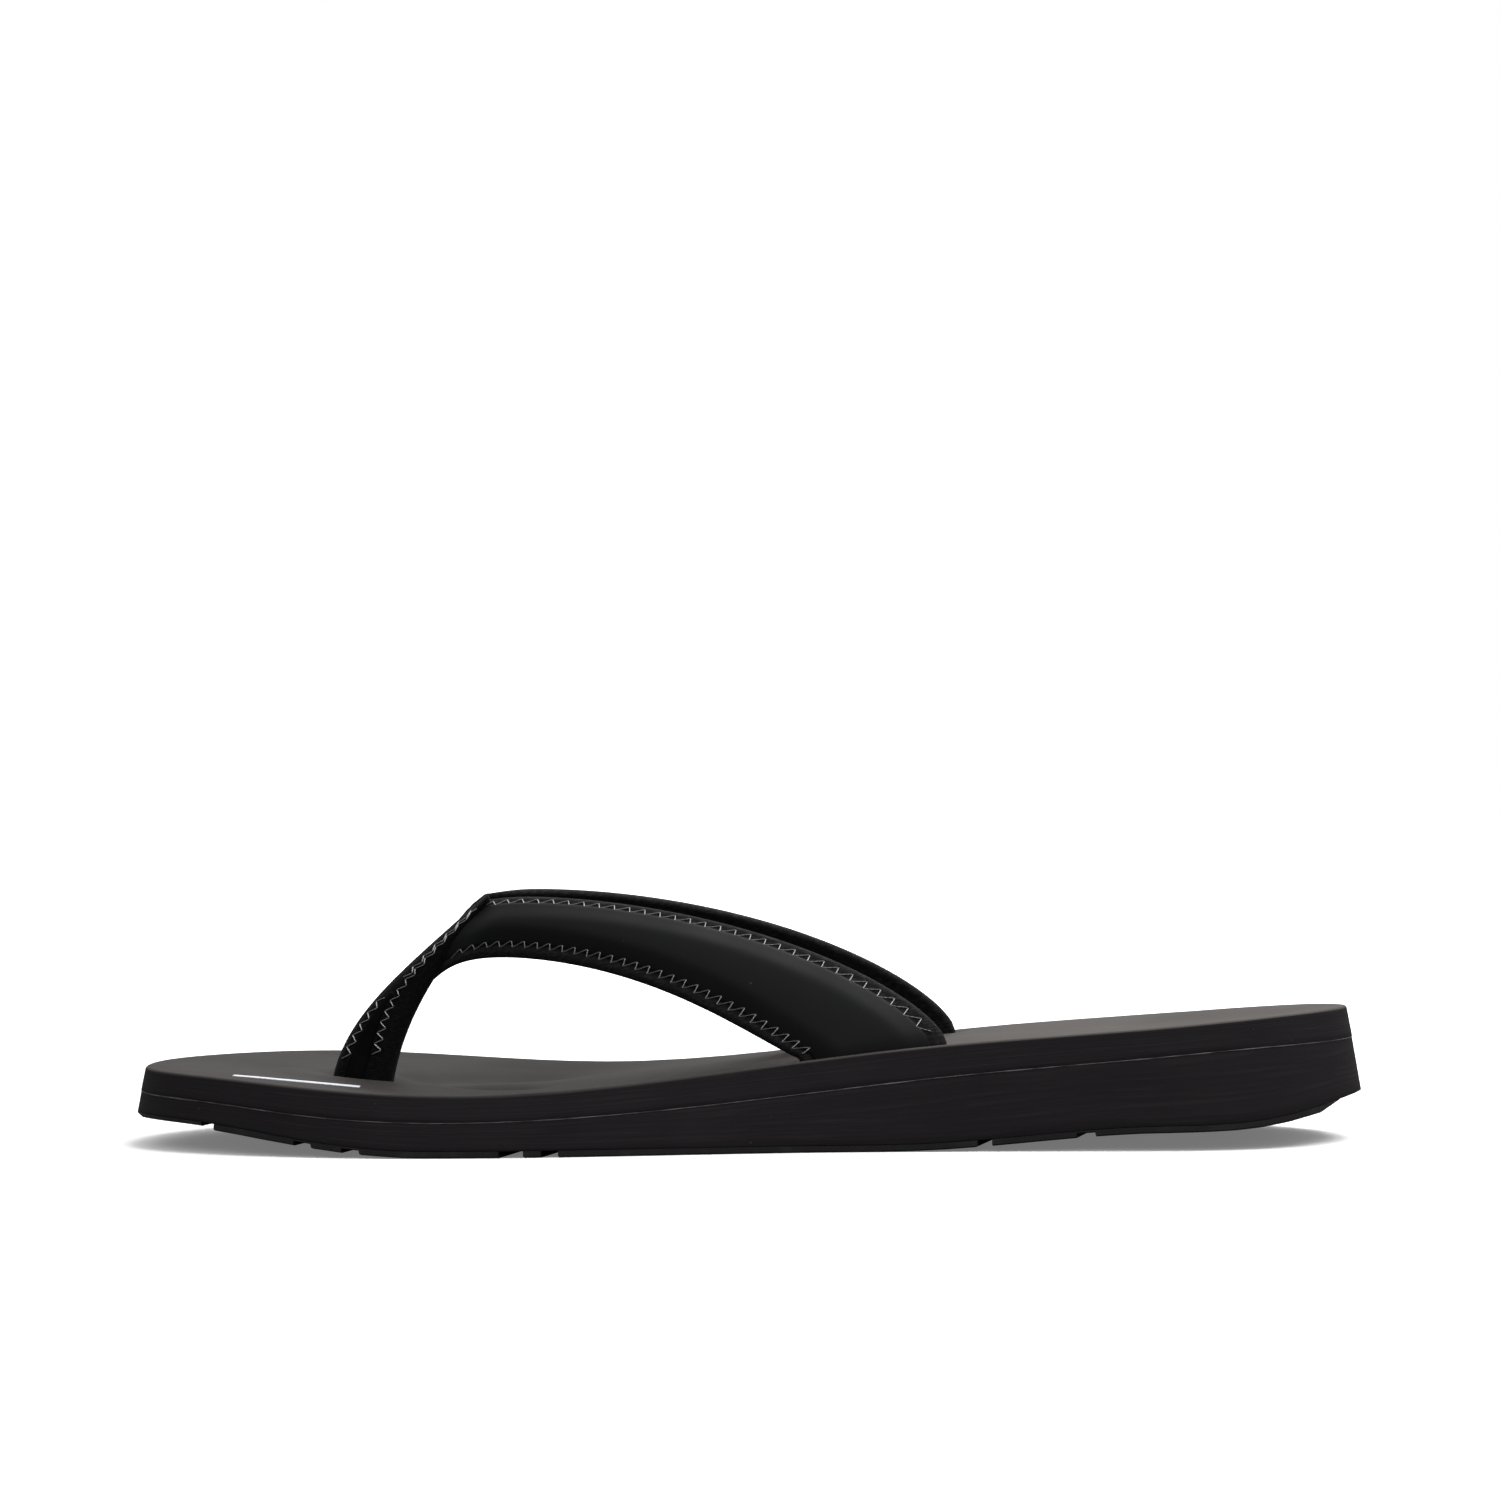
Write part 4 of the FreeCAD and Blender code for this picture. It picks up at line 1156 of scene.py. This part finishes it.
def tube(name, path, radius, points_per_leg, sides=6):
    """A round thread along a path of points, with closed ends. UV: stitches along it, metres round it."""
    rows, reach = [], [0.0]
    side = None
    for index, point in enumerate(path):
        before, after = path[max(index - 1, 0)], path[min(index + 1, len(path) - 1)]
        along = (after - before).normalized()
        if side is None:
            side = along.orthogonal().normalized()
        side = (side - along * side.dot(along)).normalized()
        over = along.cross(side)
        turns = [2 * math.pi * step / sides for step in range(sides)]
        ring = [point + (side * math.cos(turn) + over * math.sin(turn)) * radius for turn in turns]
        rows.append(ring + ring[:1])
        if index:
            reach.append(index / points_per_leg)
    rows = [[path[0]] * (sides + 1)] + rows + [[path[-1]] * (sides + 1)]
    reach = [0.0] + reach + reach[-1:]
    girth = 2 * math.pi * radius / sides
    return grid_piece(name, rows, lambda column, row: (reach[row], column * girth))


def zigzag(name, place, row, begin, finish, pitch, radius):
    """A zigzag row: legs of thread between needle holes on the two sides of the row."""
    count = max(int((finish - begin) / (pitch / 2)), 2)
    step = (finish - begin) / count
    profile = ((0.0, -1.6), (0.12, 0.4), (0.35, 0.9), (0.65, 0.9), (0.88, 0.4))
    path = []
    for leg in range(count):
        for share, lift in profile:
            reach = leg + share
            low, high = row(reach / count) if callable(row) else row
            across = low + (high - low) * (share if leg % 2 == 0 else 1 - share)
            path.append(place(begin + step * reach, across, lift * radius))
    piece = tube(name, path, radius, len(profile))
    dress(piece, "strap_webbing", "thread")
    return piece


class Post:
    """The toe post: a padded blade between a front and a rear edge, with a panel on each face."""

    FRONT = [from_post(*place) for place in (
        (-8.9, 0.0, 13.5), (-6.5, 1.5, 30.0), (8.5, 4.5, 40.8), (27.2, 5.5, 58.0))]
    REAR = [from_post(*place) for place in (
        (5.4, 0.0, 12.5), (7.2, 1.5, 27.0), (14.4, 4.5, 39.4), (28.0, 5.5, 56.0))]
    THICKNESS = (6.4 * MM, 6.2 * MM, 7.4 * MM)  # at the footbed, halfway and at the junction

    def half(self, share, across):
        """Half the blade's thickness at a place between its front (0) and rear (1) edge."""
        low, middle, high = self.THICKNESS
        if share < 0.5:
            full = low + (middle - low) * smoothstep(share, 0.0, 0.5)
        else:
            full = middle + (high - middle) * smoothstep(share, 0.5, 0.85)
        length = (bezier(self.REAR, share) - bezier(self.FRONT, share)).length
        roll = min(min(across, 1 - across) * length / min(2.6 * MM, length / 2), 1.0)
        return full / 2 * math.sqrt(max(1 - (1 - roll) ** 2, 0.0))

    def point(self, share, across, side, lift=0.0):
        """A place on one face of the blade, or over it."""
        middle = bezier(self.FRONT, share).lerp(bezier(self.REAR, share), across)
        return middle + Vector((0, side * (self.half(share, across) + lift), 0))

    def rows(self):
        """Closed sections from under the footbed to the junction."""
        steps, count = 16, 60
        across = [(1 - math.cos(math.pi * step / steps)) / 2 for step in range(steps + 1)]
        rows = []
        for number in range(count + 1):
            share = number / count
            row = [self.point(share, a, -1) for a in across]
            row += [self.point(share, a, 1) for a in reversed(across[1:-1])]
            rows.append(row + row[:1])
        return closed_ends(rows)

    def make(self):
        """Builds the blade, the panel on each face and the rows of stitches."""
        rows = self.rows()
        piece = grid_piece("toe_post_blade", rows, strip_texture(rows, 1.0 * MM))
        dress(piece, "strap_panel", "shaded_post_jersey")
        bend_with_straps(piece)
        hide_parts("toe_post_cover", "toe_post_webbing")
        for label, side in (("inner", -1), ("outer", 1)):
            self.make_panel(label, side)
            self.make_rows(label, side)

    def make_panel(self, label, side):
        """The smooth panel on one face, between the two rows of stitches."""
        low, begin, finish = 0.21, 0.0, 0.5
        columns, count = 14, 44
        rows = []
        for number in range(count + 1):
            share = begin + (finish - begin) * number / count
            high = max(self.rear_row(share)[0] - 0.02, low + 0.03)
            outer, inner = [], []
            for column in range(columns + 1):
                across = low + (high - low) * column / columns
                edge = min(column, columns - column) / 4
                lift = 0.5 * MM * math.sqrt(1 - (1 - min(edge, 1.0)) ** 2) * (1 - smoothstep(share, 0.3, finish))
                outer.append(self.point(share, across, side, lift))
                inner.append(self.point(share, across, side, -0.5 * MM))
            rows.append(outer + inner[::-1] + outer[:1])
        rows = closed_ends(rows)
        piece = grid_piece("toe_post_panel_" + label, rows, strip_texture(rows, 1.0 * MM))
        dress(piece, "strap_panel", "shaded_post_panel")
        bend_with_straps(piece)

    def rear_row(self, share):
        """The rear row of stitches starts behind the panel and rises to the front of the blade."""
        middle = 0.62 - 0.26 * smoothstep(share, 0.12, 0.58)
        return middle - 0.075, middle + 0.075

    def make_rows(self, label, side):
        """The front and rear row of stitches on one face, and a third where they close up."""
        sizes = bpy.context.scene.sandal_sizes
        length = 58 * MM
        begin, finish = 0.17, 0.95

        def rising(progress):
            return self.rear_row(begin + (finish - begin) * progress)

        for part, row, begin, finish in (
            ("front", (0.07, 0.19), 0.13, 0.47),
            ("upper", (0.18, 0.32), 0.58, 0.93),
            ("rear", rising, begin, finish),
        ):
            def place(distance, across, lift):
                return self.point(distance / length, across, side, lift)

            piece = zigzag("toe_post_stitches_%s_%s" % (label, part), place, row, begin * length, finish * length,
                           sizes.stitch_pitch, sizes.thread_radius)
            bend_with_straps(piece)


STRAPS = {
    "medial": Strap("medial", -1, 43.5 * MM, 57.4 * MM),
    "lateral": Strap("lateral", 1, 44.5 * MM, 58.7 * MM),
}


# ---------------------------------------------------------------------------------------------------
# Stage
# ---------------------------------------------------------------------------------------------------
def paper(name, glow, bounce):
    """The pale paper of the floor: it looks white, glows a little and throws little light back."""
    material, tree, shader, coordinates = new_material(name, Roughness=0.9, Specular_IOR_Level=0.1)
    seen = tree.nodes.new("ShaderNodeLightPath").outputs["Is Camera Ray"]
    tree.links.new(mixed(tree, seen, (bounce, bounce, bounce), (0.9, 0.9, 0.9)), shader.inputs["Base Color"])
    shader.inputs["Emission Color"].default_value = (1, 1, 1, 1)
    away = shader_node(tree, "ShaderNodeVectorMath", {0: coordinates.outputs["Object"]}, operation="LENGTH")
    whiter = ranged(tree, away.outputs["Value"], 0.3, 1.2, glow, 1.0)
    tree.links.new(math_node(tree, "MULTIPLY", seen, whiter), shader.inputs["Emission Strength"])
    return material


def studio_air(world):
    """The world: white behind the sandal, and a soft light from above that fades towards the floor."""
    world.use_nodes = True
    tree = world.node_tree
    background = tree.nodes["Background"]
    coordinates = tree.nodes.new("ShaderNodeTexCoord")
    up = shader_node(tree, "ShaderNodeSeparateXYZ", {0: coordinates.outputs["Generated"]}).outputs["Z"]
    soft = ranged(tree, up, 0.0, 0.9, 0.06, 0.85)
    seen = tree.nodes.new("ShaderNodeLightPath").outputs["Is Camera Ray"]
    strength = math_node(tree, "MAXIMUM", soft, math_node(tree, "MULTIPLY", seen, 1.0))
    background.inputs["Color"].default_value = (1, 1, 1, 1)
    tree.links.new(strength, background.inputs["Strength"])


def area_light(name, place, target, width, height, power):
    """A softbox that points at a place."""
    bpy.ops.object.light_add(type="AREA", location=place)
    light = bpy.context.object
    light.name = name
    light.data.shape = "RECTANGLE"
    light.data.size, light.data.size_y = width, height
    light.data.energy = power
    light.rotation_euler = (Vector(target) - Vector(place)).to_track_quat("-Z", "Y").to_euler()
    return light


def make_stage(sizes):
    """The paper sweep, the softboxes, the world's light and the camera."""
    deselect()
    bpy.ops.mesh.primitive_plane_add(size=1, location=(0, 0, 0))
    floor = bpy.context.object
    floor.name = "paper_floor"
    bpy.ops.object.mode_set(mode="EDIT")
    bpy.ops.mesh.select_all(action="SELECT")
    bpy.ops.transform.resize(value=(9, 9, 1))
    bpy.ops.object.mode_set(mode="OBJECT")
    floor.data.materials.append(paper("Paper", 0.17, 0.12))
    world = bpy.data.worlds.new("Studio")
    bpy.context.scene.world = world
    bpy.context.scene.view_settings.view_transform = "Standard"
    studio_air(world)
    area_light("softbox_above", (0.45, 0.15, 1.25), (0, 0, 0), 1.6, 1.0, 27)
    area_light("softbox_behind", (0.1, 1.3, 0.9), (0, 0, 0.02), 2.0, 0.8, 8)
    area_light("softbox_front", (-0.5, -1.2, 0.9), (0, 0, 0.02), 0.7, 0.5, 1.2)
    bpy.ops.object.camera_add(
        location=(sizes.camera_aside, -sizes.camera_distance, sizes.camera_height), rotation=(math.pi / 2, 0, 0))
    camera = bpy.context.object
    camera.name = "camera"
    camera.data.sensor_width = 36
    camera.data.lens = sizes.camera_lens
    camera.data.clip_start = 0.01
    bpy.context.scene.camera = camera


# ---------------------------------------------------------------------------------------------------
# Add-on
# ---------------------------------------------------------------------------------------------------
def length_property(name, description, default):
    """A length in metres with a name, a description and a default."""
    return bpy.props.FloatProperty(name=name, description=description, default=default, subtype="DISTANCE",
                                   unit="LENGTH", precision=5)


def colour_property(name, description, default):
    """A linear colour with a name, a description and a default."""
    return bpy.props.FloatVectorProperty(name=name, description=description, default=default, subtype="COLOR",
                                         size=3, min=0, max=1)


class SandalSizes(bpy.types.PropertyGroup):
    """Sizes of the stitches and of the view."""

    stitch_pitch: length_property("Stitch pitch", "One full zigzag along a row", 3.3 * MM)
    thread_radius: length_property("Thread radius", "Half the thread's thickness", 0.12 * MM)
    camera_aside: length_property("Camera aside", "From the middle of the sandal, towards its heel", -1.25 * MM)
    camera_distance: length_property("Camera distance", "From the middle of the sandal", 0.93)
    camera_height: length_property("Camera height", "Over the floor", 0.09167)
    camera_lens: bpy.props.FloatProperty(name="Lens", description="Focal length", default=93.9, unit="CAMERA")


class SandalFinish(bpy.types.PropertyGroup):
    """Colours of the sandal."""

    foam: colour_property("Foam", "Side of the foam layers", (0.0112, 0.0092, 0.0110))
    foam_streak: colour_property("Foam lines", "Paler lines on the side", (0.020, 0.018, 0.019))
    footbed: colour_property("Footbed", "Upper face of the footbed", (0.0148, 0.0124, 0.0110))
    # Painted light: the paler tone given to the footbed's top towards the heel and the toes, for the light that
    # falls there.
    footbed_lit: colour_property("Footbed, rubbed", "Where the heel rubs it paler", (0.0640, 0.0580, 0.0545))
    jersey: colour_property("Jersey", "Knit round the padding", (0.0145, 0.0134, 0.0145))
    jersey_fleck: colour_property("Jersey flecks", "Paler yarns of the knit", (0.036, 0.033, 0.035))
    panel: colour_property("Panel", "Smooth strap panel", (0.0050, 0.0049, 0.0054))
    panel_high: colour_property("Panel, paler", "Paler mottle of the panel", (0.0066, 0.0069, 0.0078))
    # Painted shade: the toe post's knit and panel get this darker colour for the shadow on the post.
    post: colour_property("Toe post", "Panel and knit of the toe post", (0.0008, 0.0007, 0.0006))
    thread: colour_property("Thread", "Shaded side of the thread", (0.06, 0.06, 0.063))
    thread_shine: colour_property("Thread shine", "Bright side of the thread", (0.80, 0.80, 0.82))
    rubber: colour_property("Rubber", "Outsole pods", (0.010, 0.010, 0.0105))
    rubber_scuffed: colour_property("Scuffed rubber", "Scuffs on the pods", (0.026, 0.026, 0.027))
    glue: colour_property("Glue", "Dried glue between the layers", (0.16, 0.16, 0.16))
    print_colour: colour_property("Print", "The bar on the footbed", (0.56, 0.58, 0.62))


class SANDAL_OT_sole(bpy.types.Operator):
    """Models the two foam layers, the glue line between them and the printed bar"""

    bl_idname = "sandal.sole"
    bl_label = "Foam Sole"

    def execute(self, context):
        make_midsole()
        make_footbed()
        make_glue_line()
        make_mark()
        return {"FINISHED"}


class SANDAL_OT_pods(bpy.types.Operator):
    """Models the rubber pods with their treads"""

    bl_idname = "sandal.pods"
    bl_label = "Outsole Pods"

    def execute(self, context):
        for node in sorted(frame["nodes"]):
            if node.startswith("outsole_"):
                Pod(node).make()
        return {"FINISHED"}


class SANDAL_OT_straps(bpy.types.Operator):
    """Models the two padded straps with their panels and stitches"""

    bl_idname = "sandal.straps"
    bl_label = "Straps"

    def execute(self, context):
        for strap in STRAPS.values():
            strap.make()
        return {"FINISHED"}


class SANDAL_OT_post(bpy.types.Operator):
    """Models the toe post with its panels and stitches"""

    bl_idname = "sandal.post"
    bl_label = "Toe Post"

    def execute(self, context):
        Post().make()
        return {"FINISHED"}


class SANDAL_OT_hidden(bpy.types.Operator):
    """Gives the tabs and the anchor inside the sole their finish"""

    bl_idname = "sandal.hidden"
    bl_label = "Tabs and Anchor"

    def execute(self, context):
        for node in ("medial_strap_tab", "lateral_strap_tab"):
            dress_node(node, "webbing")
        dress_node("toe_post_anchor", "rubber")
        return {"FINISHED"}


class SANDAL_OT_stage(bpy.types.Operator):
    """Sets up the paper floor, the softboxes and the camera"""

    bl_idname = "sandal.stage"
    bl_label = "Stage"

    def execute(self, context):
        make_stage(context.scene.sandal_sizes)
        return {"FINISHED"}


class SANDAL_PT_panel(bpy.types.Panel):
    """Lists the steps of the sandal"""

    bl_idname = "SANDAL_PT_panel"
    bl_label = "Sandal"
    bl_space_type = "VIEW_3D"
    bl_region_type = "UI"
    bl_category = "Sandal"

    def draw(self, context):
        for operator in OPERATORS:
            self.layout.operator(operator.bl_idname)
        for group in (context.scene.sandal_sizes, context.scene.sandal_finish):
            for name in group.__annotations__:
                self.layout.prop(group, name)


OPERATORS = (
    SANDAL_OT_stage,
    SANDAL_OT_sole,
    SANDAL_OT_pods,
    SANDAL_OT_straps,
    SANDAL_OT_post,
    SANDAL_OT_hidden,
)
CLASSES = (SandalSizes, SandalFinish, *OPERATORS, SANDAL_PT_panel)


def dress_node(node, name):
    """Gives a node of the frame a material."""
    piece = frame["nodes"][node]
    piece.data.materials.clear()
    piece.data.materials.append(MATERIALS[name])


def register():
    """Registers the classes and puts the settings on the scene."""
    for item in CLASSES:
        bpy.utils.register_class(item)
    bpy.types.Scene.sandal_sizes = bpy.props.PointerProperty(type=SandalSizes)
    bpy.types.Scene.sandal_finish = bpy.props.PointerProperty(type=SandalFinish)


def unregister():
    """Takes the settings and the classes away again."""
    del bpy.types.Scene.sandal_sizes
    del bpy.types.Scene.sandal_finish
    for item in reversed(CLASSES):
        bpy.utils.unregister_class(item)


def main():
    """Builds the sandal and its stage."""
    register()
    make_materials()
    bpy.ops.sandal.stage()
    bpy.ops.sandal.sole()
    bpy.ops.sandal.pods()
    bpy.ops.sandal.straps()
    bpy.ops.sandal.post()
    bpy.ops.sandal.hidden()


if __name__ == "__main__":
    main()
